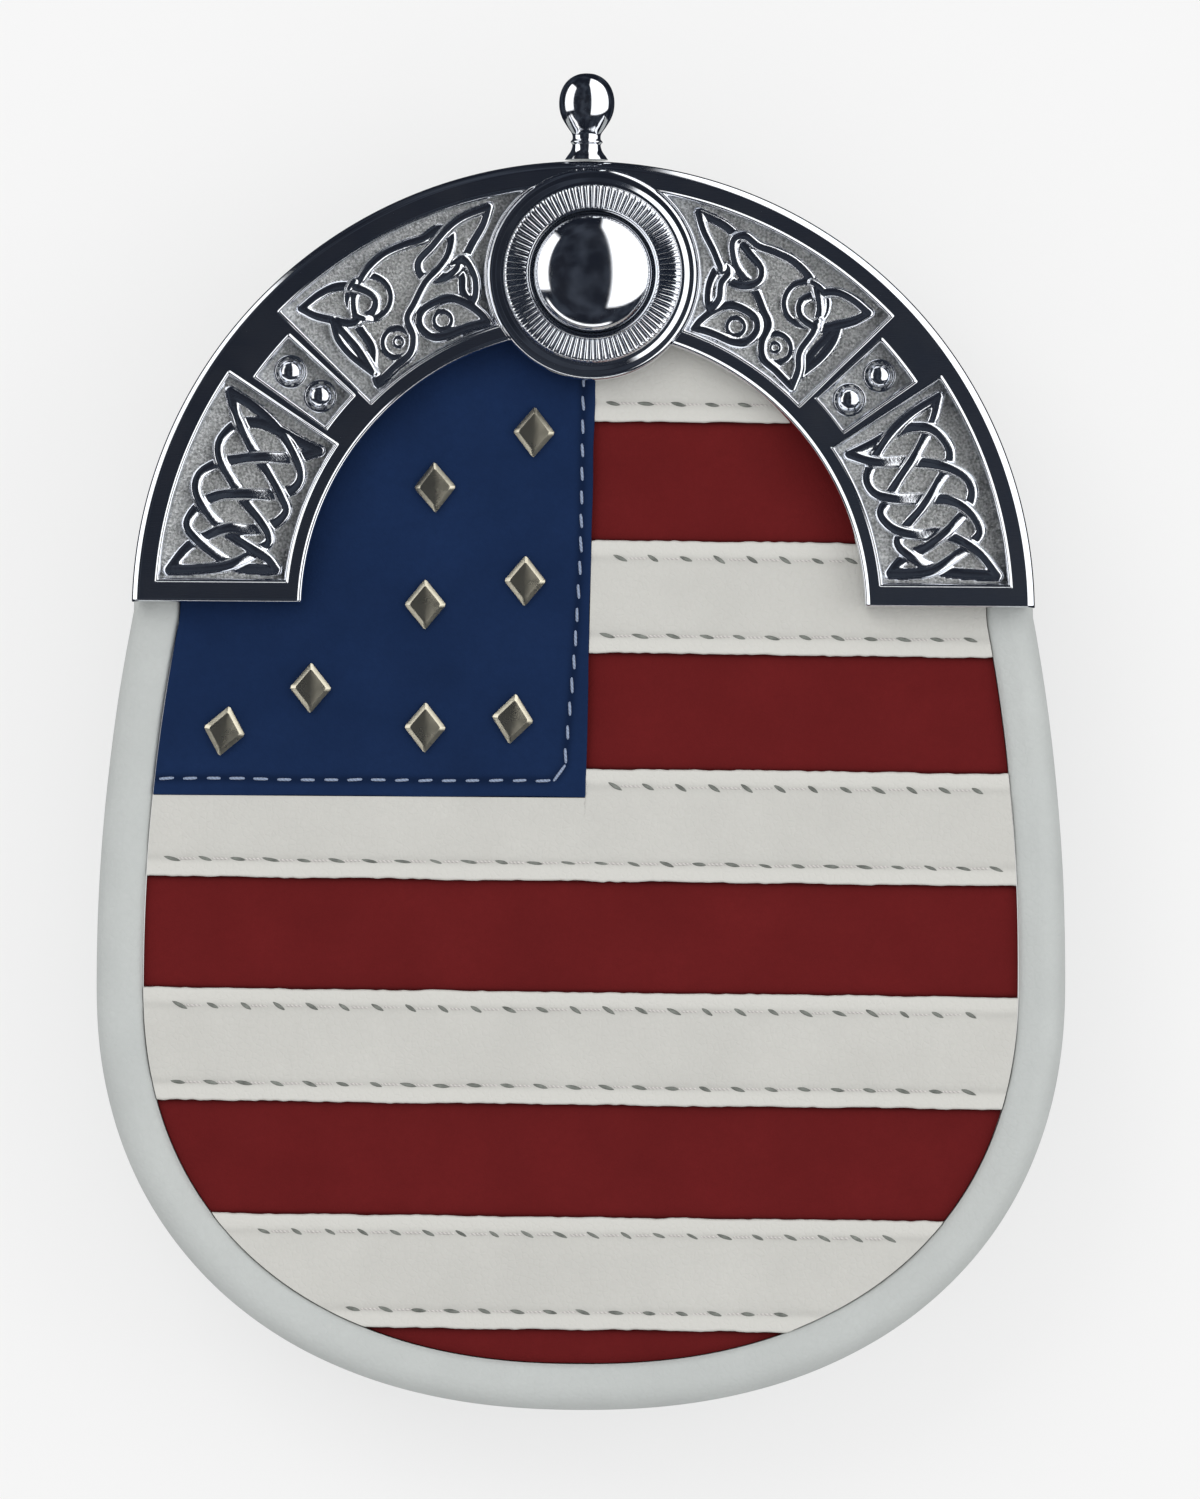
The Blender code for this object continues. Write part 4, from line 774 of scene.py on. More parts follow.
def repeat_tree():
    """Copies of one shape on the points of a mesh, turned and stretched by the points' own values."""
    tree = bpy.data.node_groups.get("Repeat On Points")
    if tree:
        return tree
    tree = bpy.data.node_groups.new("Repeat On Points", "GeometryNodeTree")
    tree.interface.new_socket("Geometry", in_out="OUTPUT", socket_type="NodeSocketGeometry")
    kinds = {
        "Geometry": "Geometry",
        "Shape": "Object",
        "Length": "Float",
        "Width": "Float",
        "Height": "Float",
        "Turn Spread": "Float",
        "Size Spread": "Float",
        "Seed": "Int",
        "Finish": "Material",
    }
    for label, kind in kinds.items():
        tree.interface.new_socket(label, in_out="INPUT", socket_type="NodeSocket" + kind)
    desk = Desk(tree)
    given = desk.add("NodeGroupInput").outputs
    shape = desk.add("GeometryNodeObjectInfo", {"Object": given["Shape"]}).outputs["Geometry"]
    turn, reach = (
        desk.add("GeometryNodeInputNamedAttribute", {"Name": label}, data_type="FLOAT").outputs["Attribute"]
        for label in ("turn", "reach")
    )
    sway = desk.add("FunctionNodeRandomValue", {"Min": -1.0, "Max": 1.0, "Seed": given["Seed"]})
    sway = desk.math("MULTIPLY", sway.outputs["Value"], given["Turn Spread"])
    other_seed = desk.math("ADD", given["Seed"], 17.0)
    growth = desk.add("FunctionNodeRandomValue", {"Min": -1.0, "Max": 1.0, "Seed": other_seed})
    growth = desk.math("MULTIPLY_ADD", growth.outputs["Value"], given["Size Spread"], 1.0)
    long = desk.math("MULTIPLY", desk.math("MULTIPLY", given["Length"], reach), growth)
    size = desk.add("ShaderNodeCombineXYZ", {"X": long, "Y": given["Width"], "Z": given["Height"]})
    lean = desk.add("ShaderNodeCombineXYZ", {"Z": desk.math("ADD", turn, sway)})
    sockets = {"Points": given["Geometry"], "Instance": shape}
    sockets.update({"Rotation": lean.outputs[0], "Scale": size.outputs[0]})
    copies = desk.add("GeometryNodeInstanceOnPoints", sockets)
    real = desk.add("GeometryNodeRealizeInstances", {"Geometry": copies.outputs["Instances"]})
    sockets = {"Geometry": real.outputs["Geometry"], "Material": given["Finish"]}
    painted = desk.add("GeometryNodeSetMaterial", sockets)
    desk.add("NodeGroupOutput", {"Geometry": painted.outputs["Geometry"]})
    return tree


def copy_sizes(long, wide, high, turn_spread=0.0, size_spread=0.0, seed=0):
    """The size of each copy of a unit shape, and how much its turn and size vary."""
    sizes = {"Length": long, "Width": wide, "Height": high}
    return {**sizes, "Turn Spread": turn_spread, "Size Spread": size_spread, "Seed": seed}


def repeated(name, shape, places, turns, finish, nodes, sizes, reaches=None):
    """A piece made of copies of a unit shape at places about the cantle's centre."""
    helper = bpy.data.objects.new(name + "_shape", shape)
    bpy.context.scene.collection.objects.link(helper)
    helper.hide_render = True
    mesh = bpy.data.meshes.new(name + "_places")
    mesh.from_pydata((np.asarray(places) + (0.0, CENTRE_Y, 0.0)).tolist(), [], [])
    reaches = np.ones(len(places)) if reaches is None else reaches
    for label, numbers in (("turn", turns), ("reach", reaches)):
        layer = mesh.attributes.new(label, "FLOAT", "POINT")
        layer.data.foreach_set("value", np.asarray(numbers, np.float32))
    holder = bpy.data.objects.new(name + "_places", mesh)
    bpy.context.scene.collection.objects.link(holder)
    change = holder.modifiers.new("Repeat", "NODES")
    change.node_group = repeat_tree()
    sizes = {"Shape": helper, "Finish": finish_named(finish), **sizes}
    for item in change.node_group.interface.items_tree:
        if item.in_out == "INPUT" and item.name in sizes:
            change[item.identifier] = sizes[item.name]
    graph = bpy.context.evaluated_depsgraph_get()
    made = bpy.data.meshes.new_from_object(holder.evaluated_get(graph))
    holder.modifiers.remove(change)
    for spent in (holder, helper):
        bpy.data.objects.remove(spent)
    made.name = name
    for label in ("turn", "reach"):
        if label in made.attributes:
            made.attributes.remove(made.attributes[label])
    return settle(name, made, finish, nodes)


def hump(offset, width):
    """1 in the middle, falling away smoothly on both sides."""
    return np.exp(-((offset / width) ** 2))


def bead(offset, half, height):
    """A round raised line: its height at an offset from its middle."""
    return height * np.cos(np.clip(offset / half, -1, 1) * math.pi / 2)


def from_boss(x, y):
    """How far a place on the cantle is from the boss's middle."""
    return np.hypot(x - BOSS_SIDE_OFFSET, y - BOSS_DISTANCE)


def angle_by_lobe(radius, side, clear):
    """The angle up from the foot at which an arc comes that near to the boss."""
    distance = math.hypot(BOSS_DISTANCE, BOSS_SIDE_OFFSET)
    lean = side * math.atan2(BOSS_SIDE_OFFSET, BOSS_DISTANCE)
    cosine = (radius**2 + distance**2 - clear**2) / (2 * radius * distance)
    return math.pi / 2 - lean - np.arccos(np.minimum(cosine, 1.0))


def pocket_radii(kind):
    """The inner and outer radius of a sunk panel."""
    extra = STUD_POCKET_INSET if kind == "stud" else 0.0
    inner = INNER_RADIUS + INNER_FRAME + extra * INNER_FRAME / OUTER_FRAME
    return inner, CANTLE_RADIUS - OUTER_FRAME - extra


def pocket_limits(kind, radius, side):
    """The two angles between which a sunk panel runs, at each radius."""
    if kind == "lower":
        return np.arcsin((CANTLE_EDGE_LIFT + BOTTOM_FRAME) / radius), LOWER_POCKET_TOP + 0 * radius
    if kind == "stud":
        return STUD_POCKET_BOTTOM + 0 * radius, STUD_POCKET_TOP + 0 * radius
    return UPPER_POCKET_BOTTOM + 0 * radius, angle_by_lobe(radius, side, LOBE_RADIUS + POCKET_TO_LOBE)


def panel_point(kind, side, along, across, margin=0.0):
    """A point of a sunk panel, from shares along and across it."""
    inner, outer = pocket_radii(kind)
    radius = inner + margin + across * (outer - inner - 2 * margin)
    start, end = pocket_limits(kind, radius, side)
    spare = margin / radius
    angle = start + spare + along * (end - start - 2 * spare)
    return side * radius * np.cos(angle), radius * np.sin(angle)


def into_pocket(kind, side, x, y):
    """How far a place lies inside a sunk panel's border. Outside, it is negative."""
    radius, angle = np.hypot(x, y), np.arctan2(y, side * x)
    inner, outer = pocket_radii(kind)
    depth = np.minimum(radius - inner, outer - radius)
    if kind == "lower":
        depth = np.minimum(depth, y - CANTLE_EDGE_LIFT - BOTTOM_FRAME)
        return np.minimum(depth, (LOWER_POCKET_TOP - angle) * radius)
    if kind == "stud":
        depth = np.minimum(depth, (angle - STUD_POCKET_BOTTOM) * radius)
        return np.minimum(depth, (STUD_POCKET_TOP - angle) * radius)
    depth = np.minimum(depth, (angle - UPPER_POCKET_BOTTOM) * radius)
    return np.minimum(depth, from_boss(x, y) - LOBE_RADIUS - POCKET_TO_LOBE)


def plate_top(x, y, settings):
    """Height of the casting's face: mouldings along its edges, beads round its panels, sunk floors."""
    radius = np.hypot(x, y)
    height = np.full_like(radius, FRAME_Z)
    beyond = np.clip((radius - CANTLE_RADIUS) / settings.fall_width + 1, 0.0, 1.0)
    height -= settings.fall_width * OUTER_FALL_SHARE * (beyond + beyond**2)
    height -= OUTER_LIP_FALL * np.maximum(beyond - OUTER_LIP_START, 0.0) / (1 - OUTER_LIP_START)
    inner_bead = INNER_RADIUS + INNER_BEAD_HALF
    height += bead(radius - inner_bead, INNER_BEAD_HALF, INNER_BEAD_HEIGHT)
    height -= INNER_EDGE_FALL * quarter_round((inner_bead - radius) / INNER_BEAD_HALF)
    half = settings.bead_width / 2
    for side in (-1, 1):
        for kind in PANEL_KINDS:
            inside = into_pocket(kind, side, x, y)
            inside = np.where(side * x > 0, inside, -1.0)
            height += bead(inside + half, half, settings.bead_height)
            height -= (POCKET_DEPTH + SLAB_DEPTH) * smooth_step(inside, 0.0, POCKET_WALL_RUN)
    height -= FOOT_ROUND * quarter_round(1 - (y - CANTLE_EDGE_LIFT) / FOOT_ROUND)
    under_seat = np.minimum(height, FRAME_Z - 0.0005)
    return np.where(from_boss(x, y) < LOBE_RADIUS - 0.0002, under_seat, height)


def spaced(stops, end):
    """Places along a line: from each (place, step) stop, even steps of about that size up to the next one."""
    runs = []
    for (here, step), (there, _) in zip(stops, stops[1:] + [(end, 0.0)]):
        count = max(2, round(abs(there - here) / step))
        runs.append(np.linspace(here, there, count, endpoint=False))
    return np.concatenate(runs + [[end]])


def cantle_radii():
    """Radii of the casting's lines, close together where its mouldings are."""
    inner, outer = pocket_radii("lower")
    stud_inner, stud_outer = pocket_radii("stud")
    fine, plain, wide = 0.00012, 0.00035, 0.0012
    outside, within = 0.0011, 0.0005
    stops = [
        (CANTLE_RADIUS, fine),
        (CANTLE_RADIUS - 0.0016, plain),
        (outer + outside, fine),
        (outer - within, wide),
        (stud_outer + outside, fine * 1.4),
        (stud_outer - within, wide),
        (stud_inner + within, fine * 1.4),
        (stud_inner - outside, wide / 2),
        (inner + within, fine),
        (inner - outside, plain),
        (INNER_RADIUS + 0.0010, fine),
    ]
    return spaced(stops, INNER_RADIUS)


def stretch_between(start, end, radius, step, fine_step=0.00013):
    """Angles from one border to the next at each radius: close together near both borders."""
    middle = CANTLE_RADIUS - CANTLE_BAND / 2
    room = float(np.mean(end - start)) * middle
    near = np.arange(-1, 12) * fine_step + fine_step
    if room < 3 * near[-1]:
        shares = np.linspace(0.0, 1.0, max(4, round(room / fine_step)), endpoint=False)
        return start + shares[:, None] * (end - start)
    first = start + near[:, None] / radius
    last = end - near[:0:-1, None] / radius
    count = max(2, round((room - 2 * near[-1]) / step))
    shares = np.linspace(0.0, 1.0, count, endpoint=False)[1:]
    between = first[-1] + shares[:, None] * (last[0] - first[-1])
    return np.vstack([first, between, last])


def cantle_angles(radius, side):
    """Angles of the casting's lines on one side, up from its foot to the top, at each radius."""
    stops = [
        (np.arcsin(CANTLE_EDGE_LIFT / radius), 0.0004),
        (pocket_limits("lower", radius, side)[0], 0.0010),
        (LOWER_POCKET_TOP + 0 * radius, 0.0002),
        (STUD_POCKET_BOTTOM + 0 * radius, 0.0006),
        (STUD_POCKET_TOP + 0 * radius, 0.0002),
        (UPPER_POCKET_BOTTOM + 0 * radius, 0.0010),
    ]
    lobe = angle_by_lobe(radius, side, LOBE_RADIUS + POCKET_TO_LOBE)
    stops.append((np.minimum(lobe, math.pi / 2 - 0.05), 0.0010))
    top = math.pi / 2 + 0 * radius
    runs = []
    for (start, step), (end, _) in zip(stops, stops[1:] + [(top, 0.0)]):
        runs.append(stretch_between(start, end, radius, step))
    return np.vstack(runs)


def make_cantle_frame(settings):
    """The casting without its panels' relief: one closed body that runs round the arch."""
    skirt = [CANTLE_RADIUS - SKIRT_WALL, CANTLE_RADIUS - 0.6 * SKIRT_WALL, CANTLE_RADIUS]
    radius = np.concatenate([cantle_radii(), [INNER_RADIUS], skirt])
    right = cantle_angles(radius, 1)
    left = math.pi - cantle_angles(radius, -1)[::-1]
    angle = np.vstack([right, math.pi / 2 + 0 * radius[None], left])
    x, y = radius * np.cos(angle), radius * np.sin(angle)
    z = plate_top(x, y, settings)
    z[:, -4:-2] = CANTLE_Z
    z[:, -2:] = CANTLE_Z - SKIRT_DROP
    points, faces = bridged(stacked(x, y, z))
    make_piece("cantle_frame", points, faces, "polished_casting", ["cantle"])


def smooth_route(controls, spacing=0.00025):
    """A closed route through its control points, smooth except at the sharp ones."""
    count = len(controls)
    dense = []
    for k in range(count):
        before, here, there, beyond = (controls[(k + j) % count] for j in (-1, 0, 1, 2))
        p0, p1, p2, p3 = (Vector(c[:2]) for c in (before, here, there, beyond))
        leave = (p2 - p1) if here[2] else (p2 - p0) / 2
        arrive = (p2 - p1) if there[2] else (p3 - p1) / 2
        steps = max(2, round((p2 - p1).length / spacing))
        dense += [curve_between(p1, leave, p2, arrive, i / steps) for i in range(steps)]
    return dense


def inside_count(point, routes):
    """How many times a ray from the point crosses the routes."""
    hits = 0
    for route in routes:
        for a, b in zip(route, route[1:] + route[:1]):
            if (a.y > point.y) != (b.y > point.y):
                x = a.x + (point.y - a.y) / (b.y - a.y) * (b.x - a.x)
                hits += x > point.x
    return hits


def crossings(routes):
    """Where the routes cross: for each, both strands' route, place and way."""
    parts = []
    for r, route in enumerate(routes):
        parts += [(r, k, route[k], route[(k + 1) % len(route)]) for k in range(len(route))]
    ax, ay, bx, by = (np.array(row) for row in zip(*[(p[2].x, p[2].y, p[3].x, p[3].y) for p in parts]))
    found = []
    for i, (r, k, a, b) in enumerate(parts):
        first = b - a
        area = first.x * (by - ay) - first.y * (bx - ax)
        area = np.where(np.abs(area) < 1e-18, np.inf, area)
        s = ((ax - a.x) * (by - ay) - (ay - a.y) * (bx - ax)) / area
        t = ((ax - a.x) * first.y - (ay - a.y) * first.x) / area
        for j in np.nonzero((s >= 0) & (s < 1) & (t >= 0) & (t < 1))[0]:
            r2, k2 = parts[j][:2]
            apart = abs(k - k2)
            if j > i and not (r == r2 and (apart <= 1 or apart == len(routes[r]) - 1)):
                found.append([(r, k, float(s[j]), a, b), (r2, k2, float(t[j]), parts[j][2], parts[j][3])])
    return found


def woven_heights(routes, width):
    """For each point of each route, how far it stands over or under, from -1 to 1, so that it weaves."""
    passes = [[] for _ in routes]
    for pair in crossings(routes):
        for r, k, place, start, end in pair:
            along = (end - start).normalized()
            reach = width / 4
            point = start.lerp(end, place) - along * reach + Vector((-along.y, along.x)) * reach / 2
            passes[r].append((k + place, 1.0 if inside_count(point, routes) % 2 else -1.0))
    heights = []
    for route, own in zip(routes, passes):
        own.sort()
        count = len(route)
        if not own:
            heights.append(np.zeros(count))
            continue
        rows = [(own[-1][0] - count, own[-1][1])] + own + [(own[0][0] + count, own[0][1])]
        spots, levels = np.array(rows).T
        k = np.clip(np.searchsorted(spots, np.arange(count), side="right") - 1, 0, len(rows) - 2)
        t = (np.arange(count) - spots[k]) / np.maximum(spots[k + 1] - spots[k], 1e-9)
        heights.append(levels[k] + (levels[k + 1] - levels[k]) * (1 - np.cos(math.pi * t)) / 2)
    return heights


def knot_routes(kind, side, settings):
    """One panel's interlace on the cantle, as closed routes and the width of each one's strand."""

    def lay(along, across):
        return Vector(panel_point(kind, side, along, across, POCKET_MARGIN))

    routes = []
    for loop in LOWER_LOOPS if kind == "lower" else UPPER_LOOPS:
        placed = [(*lay(*place), k in loop["tips"]) for k, place in enumerate(loop["points"])]
        routes.append(smooth_route(placed))
    widths = [settings.strand_width if kind == "lower" else settings.leaf_width] * len(routes)
    for ring in UPPER_RINGS if kind == "upper" else []:
        centre = lay(ring["along"], ring["across"])
        spokes = [(ring["radius"] * math.cos(t), ring["radius"] * math.sin(t)) for t in full_turn(12)]
        routes.append(smooth_route([(centre.x + a, centre.y + b, False) for a, b in spokes]))
        widths.append(ring["width"])
    return routes, widths


def strand_relief(x, y, routes, widths, settings):
    """Height of the strands over their ground: flat-topped straps that weave over and under."""
    relief = np.zeros_like(x)
    for route, width, levels in zip(routes, widths, woven_heights(routes, settings.leaf_width)):
        half = width / 2
        for k, start in enumerate(route):
            end = route[(k + 1) % len(route)]
            run = end - start
            close = (np.abs(x - start.x) < 2 * half) & (np.abs(y - start.y) < 2 * half)
            px, py = x[close] - start.x, y[close] - start.y
            t = np.clip((px * run.x + py * run.y) / run.length_squared, 0.0, 1.0)
            away = np.hypot(px - run.x * t, py - run.y * t) / half
            level = levels[k] + (levels[(k + 1) % len(route)] - levels[k]) * t
            crest = settings.strand_height + settings.weave_height * level
            own = crest * np.maximum(1 - away**4, 0.0) ** 0.5
            relief[close] = np.maximum(relief[close], own)
    return relief


def panel_slab(kind, side, settings, step=0.00018, margin=0.00016):
    """One sunk panel's ground with its relief, as a thin slab that lies in the casting."""
    inner, outer = pocket_radii(kind)
    radius = np.linspace(outer - margin, inner + margin, round((outer - inner) / step))
    radius = np.concatenate([radius, [inner + margin, outer - margin]])
    start, end = pocket_limits(kind, radius, side)
    middle = (inner + outer) / 2
    shares = np.linspace(0.0, 1.0, round(float(np.mean(end - start)) * middle / step))[:, None]
    angle = start + margin / radius + shares * (end - start - 2 * margin / radius)
    x, y = side * radius * np.cos(angle), radius * np.sin(angle)
    relief = np.zeros_like(x)
    if kind != "stud":
        relief = strand_relief(x, y, *knot_routes(kind, side, settings), settings)
    ground = 1 - smooth_step(relief, 0.00004, 0.00025)
    seed = 11 + 2 * PANEL_KINDS.index(kind) + (side > 0)
    rough = dimples(x, y, settings.ground_step, seed)
    rough += 0.5 * dimples(x, y, settings.ground_step * 0.55, seed + 40)
    floor = FRAME_Z - POCKET_DEPTH
    z = floor + relief + settings.ground_depth * rough * ground
    z[:, -2:] = floor - SLAB_DEPTH
    points, faces = bridged(stacked(x, y, z))
    return points, faces, ground.ravel()


def small_domes(side):
    """The two little domes of a stud panel, each in a shallow ring."""
    floor = FRAME_Z - POCKET_DEPTH
    parts = []
    reach = SMALL_DOME_RADIUS
    ring = [(0.0, -0.0002), (1.32, -0.0002), (1.32, 0.00004)]
    ring += [(1.22, 0.00022), (1.12, 0.00006), (1.02, 0.00002)]
    profile = [(out * reach, floor + height) for out, height in ring]
    profile += dome_profile(reach, floor + ring[-1][1], 0.95 * reach, 14)
    for across in (0.27, 0.73):
        middle = panel_point("stud", side, 0.5, across)

        def place(a, b, height):
            return stacked(middle[0] + a, middle[1] + b, height)

        parts.append(turned(profile, 40, place))
    return parts


def make_cantle_panels(settings):
    """The six sunk panels with their interlace, and the little domes."""
    for side, name in ((-1, "cantle_panels_left"), (1, "cantle_panels_right")):
        slabs = [panel_slab(kind, side, settings) for kind in PANEL_KINDS]
        points, faces = joined([slab[:2] for slab in slabs] + small_domes(side))
        ground = np.zeros(len(points))
        covered = np.concatenate([slab[2] for slab in slabs])
        ground[: len(covered)] = covered
        values = {"ground": ground}
        make_piece(name, points, faces, "dimpled_casting", ["cantle"], values=values)


def boss_place(across, along, height):
    """Points about the boss's middle."""
    return stacked(BOSS_SIDE_OFFSET + across, BOSS_DISTANCE + along, height)


def round_corner(start, corner, end, steps):
    """Points of a curve that rounds off a corner."""
    turn = np.linspace(0.0, 1.0, steps)
    return [start * (1 - t) ** 2 + corner * 2 * t * (1 - t) + end * t**2 for t in turn]


def rounded_profile(corners, steps=5):
    """A profile whose corners, given as (radius, height, rounding), are rounded off."""
    line = []
    for k, (radius, height, rounding) in enumerate(corners):
        here = np.array([radius, height])
        if rounding == 0 or k in (0, len(corners) - 1):
            line.append(here)
            continue
        before = np.array(corners[k - 1][:2]) - here
        after = np.array(corners[k + 1][:2]) - here
        start = here + before / np.linalg.norm(before) * rounding
        end = here + after / np.linalg.norm(after) * rounding
        line += round_corner(start, here, end, steps)
    return line


def make_boss_seat():
    """The round seat under the boss: a rounded edge and a step up to the ring."""
    top, low = FRAME_Z + FRAME_DROP, CANTLE_Z + 0.0001
    step, edge = LOBE_RADIUS - 0.0016, LOBE_RADIUS - 0.0024
    # Up the side, over its rounded edge, in to the step and flat under the ring
    lines = [(0.0, low, 0.0), (LOBE_RADIUS, low, 0.0), (LOBE_RADIUS, top - 0.0007, 0.0006)]
    lines += [(LOBE_RADIUS - 0.0007, top - 0.0002, 0.0003), (step, top - 0.0002, 0.0001)]
    lines += [(edge, top + 0.0001, 0.0001), (0.0, top + 0.0001, 0.0)]
    points, faces = turned(rounded_profile(lines), 240, boss_place)
    make_piece("boss_seat", points, faces, "polished_casting", ["cantle"], sharp=50)


def make_boss(settings):
    """The ring with its reeds and bezel, and the dome that it holds."""
    outer = (RING_HIGH.x - RING_LOW.x) / 2
    reach = (DOME_HIGH.x - DOME_LOW.x) / 2
    inner = reach + PIECE_GAP
    seat, top = RING_LOW.z, RING_HIGH.z
    bed = top - settings.reed_height - 0.0004
    # Up the ring's side, in over the reeds' bed, and over the bezel's bead to the dome
    section = [(inner, seat), (outer, seat), (outer, bed - 0.0006), (outer - 0.0004, bed - 0.0001)]
    section += [(outer - 0.0010, bed), (inner + 0.0008, bed + 0.0001), (inner + 0.0007, top - 0.0001)]
    section += [(inner + 0.0005, top + 0.0001), (inner + 0.0002, top - 0.0001), (inner, top - 0.0006)]
    turns = full_turn(240)
    radius, height = (np.array(axis)[None] for axis in zip(*section))
    cos, sin = np.cos(turns)[:, None], np.sin(turns)[:, None]
    rings = boss_place(radius * cos, radius * sin, height + 0 * cos)
    points, faces = bridged(rings, closed=True)
    make_piece("boss_ring_body", points, faces, "polished_casting", ["boss_ring"], sharp=50)

    run = outer - inner - 0.0007
    spots = full_turn(REED_COUNT)
    middle = inner + 0.0006 + run / 2
    places = boss_place(middle * np.cos(spots), middle * np.sin(spots), bed - 0.0001 + 0 * spots)
    pitch = 2 * math.pi * outer / REED_COUNT
    sizes, nodes = copy_sizes(run, 0.84 * pitch, settings.reed_height + 0.0001), ["boss_ring"]
    repeated("boss_reeds", reed_shape(), places, spots, "polished_casting", nodes, sizes)

    profile = [(0.0, seat), (reach, seat)] + dome_profile(reach, seat + DOME_EDGE, DOME_RISE, 40)
    points, faces = turned(profile, 160, boss_place)
    make_piece("boss_dome_polished", points, faces, "polished_casting", ["boss_dome"], sharp=60)


def reed_shape():
    """One reed, a unit long, wide and high: a half-round bar that narrows inwards and ends round."""
    along = np.array([-0.5, -0.44, -0.2, 0.1, 0.36, 0.45, 0.5])
    lift = np.array([0.86, 1.0, 1.0, 1.0, 0.92, 0.66, 0.20])
    wide = 0.70 + 0.30 * (along + 0.5)
    turn = np.linspace(0.0, math.pi, 9)
    sections = []
    for a, tall, broad in zip(along, lift, wide):
        arch = [(a, 0.5 * broad * math.cos(t), tall * math.sin(t) ** 0.8) for t in turn]
        sections.append(arch + [(a, -0.5 * broad, -0.2), (a, 0.5 * broad, -0.2)])
    points, faces = bridged(np.array(sections))
    return plain_mesh("reed", points, faces)


def make_finial():
    """The turned knob on the cantle's outer edge."""
    outline = through(FINIAL_OUTLINE, 90)
    reach = (FINIAL_HIGH.x - FINIAL_LOW.x) / 2
    tall = FINIAL_HIGH.y - FINIAL_LOW.y
    foot = FINIAL_LOW.y - CENTRE_Y
    middle = (FINIAL_LOW.z + FINIAL_HIGH.z) / 2
    profile = [(0.0, foot)] + [(max(r, 0.0) * reach, foot + h * tall) for r, h in outline]
    profile[-1] = (0.0, foot + tall)

    def place(a, b, along):
        return stacked(a, along, middle + b)

    points, faces = turned(profile, 96, place)
    make_piece("finial_polished", points, faces, "polished_casting", ["finial"], sharp=60)


def offset_lines(lines, distance):
    """Section lines moved sideways, each point along its own normal."""
    along = np.empty_like(lines)
    along[:, 1:-1] = lines[:, 2:] - lines[:, :-2]
    along[:, 0] = lines[:, 1] - lines[:, 0]
    along[:, -1] = lines[:, -1] - lines[:, -2]
    along /= np.linalg.norm(along, axis=2)[..., None]
    return lines + np.stack([-along[..., 1], along[..., 0]], axis=2) * distance


def make_rim(settings):
    """The gusset: one band of leather with a soft full roll round the face and a flatter one at the back."""
    count = 640
    outline = pouch_outline(count)
    inward = side_normals(outline)
    low = back_face(outline[:, 1])
    controls = np.empty((count, len(GUSSET_SECTION), 2))
    # Each zone's width, the height that it is measured from, and the run of its heights
    zones = {
        "front": (RIM_WIDTH, POUCH_DEPTH, -PANEL_SINK),
        "side": (RIM_WIDTH, low, POUCH_DEPTH - low),
        "back": (BACK_ROLL_WIDTH, low, WALL_LEATHER),
    }
    for k, (zone, inset, height) in enumerate(GUSSET_SECTION):
        width, base, rise = zones[zone]
        controls[:, k, 0] = inset * width
        controls[:, k, 1] = base + height * rise
    skin = through(controls, 64)
    inner = offset_lines(skin, WALL_LEATHER)[:, ::-3]
    steps = np.hypot(*(np.roll(outline, -1, axis=0) - outline).T)
    reach = np.concatenate([[0.0], np.cumsum(steps)[:-1]])
    soft = fade_ends(wander(reach, 0.022, 3) + 0.5 * wander(reach, 0.009, 4))
    swell = fade_ends(wander(reach, 0.030, 5) + 0.4 * wander(reach, 0.012, 6))
    crest = hump(skin[..., 0] / RIM_WIDTH - 0.45, 0.4) * (skin[..., 1] > POUCH_DEPTH - 0.006)
    below_cantle = smooth_step(-outline[:, 1], -0.004, 0.004)[:, None]
    skin[..., 1] += crest * settings.rim_wander * (soft[:, None] - 0.6) * below_cantle
    skin[..., 0] += crest * settings.rim_wander * swell[:, None] * below_cantle * 0.8
    section = np.concatenate([skin, inner], axis=1)
    place = outline[:, None] + inward[:, None] * section[..., :1]
    points, faces = bridged(np.concatenate([place, section[..., 1:]], axis=2), closed=True)
    make_piece("rolled_rim", points, faces, "rim_hide", ["gusset"])


def fade_ends(line):
    """A wandering line made to meet itself where the outline closes."""
    weight = np.ones(len(line))
    run = len(line) // 30
    weight[:run] = np.linspace(0.0, 1.0, run)
    weight[-run:] = np.linspace(1.0, 0.0, run)
    return line * weight


def fitted(rows, shares, left=None):
    """Plan places in slanted rows, between a left limit and the rim's seam. Both limits depend on the height
    that the slant gives, so the places are worked out again until they settle."""
    left = left or (lambda y: -seam_limit(y))
    x = left(rows) + shares * (seam_limit(rows) - left(rows))
    for _ in range(2):
        y = rows + stripe_slope(x)
        x = left(y) + shares * (seam_limit(y) - left(y))
    return x, y


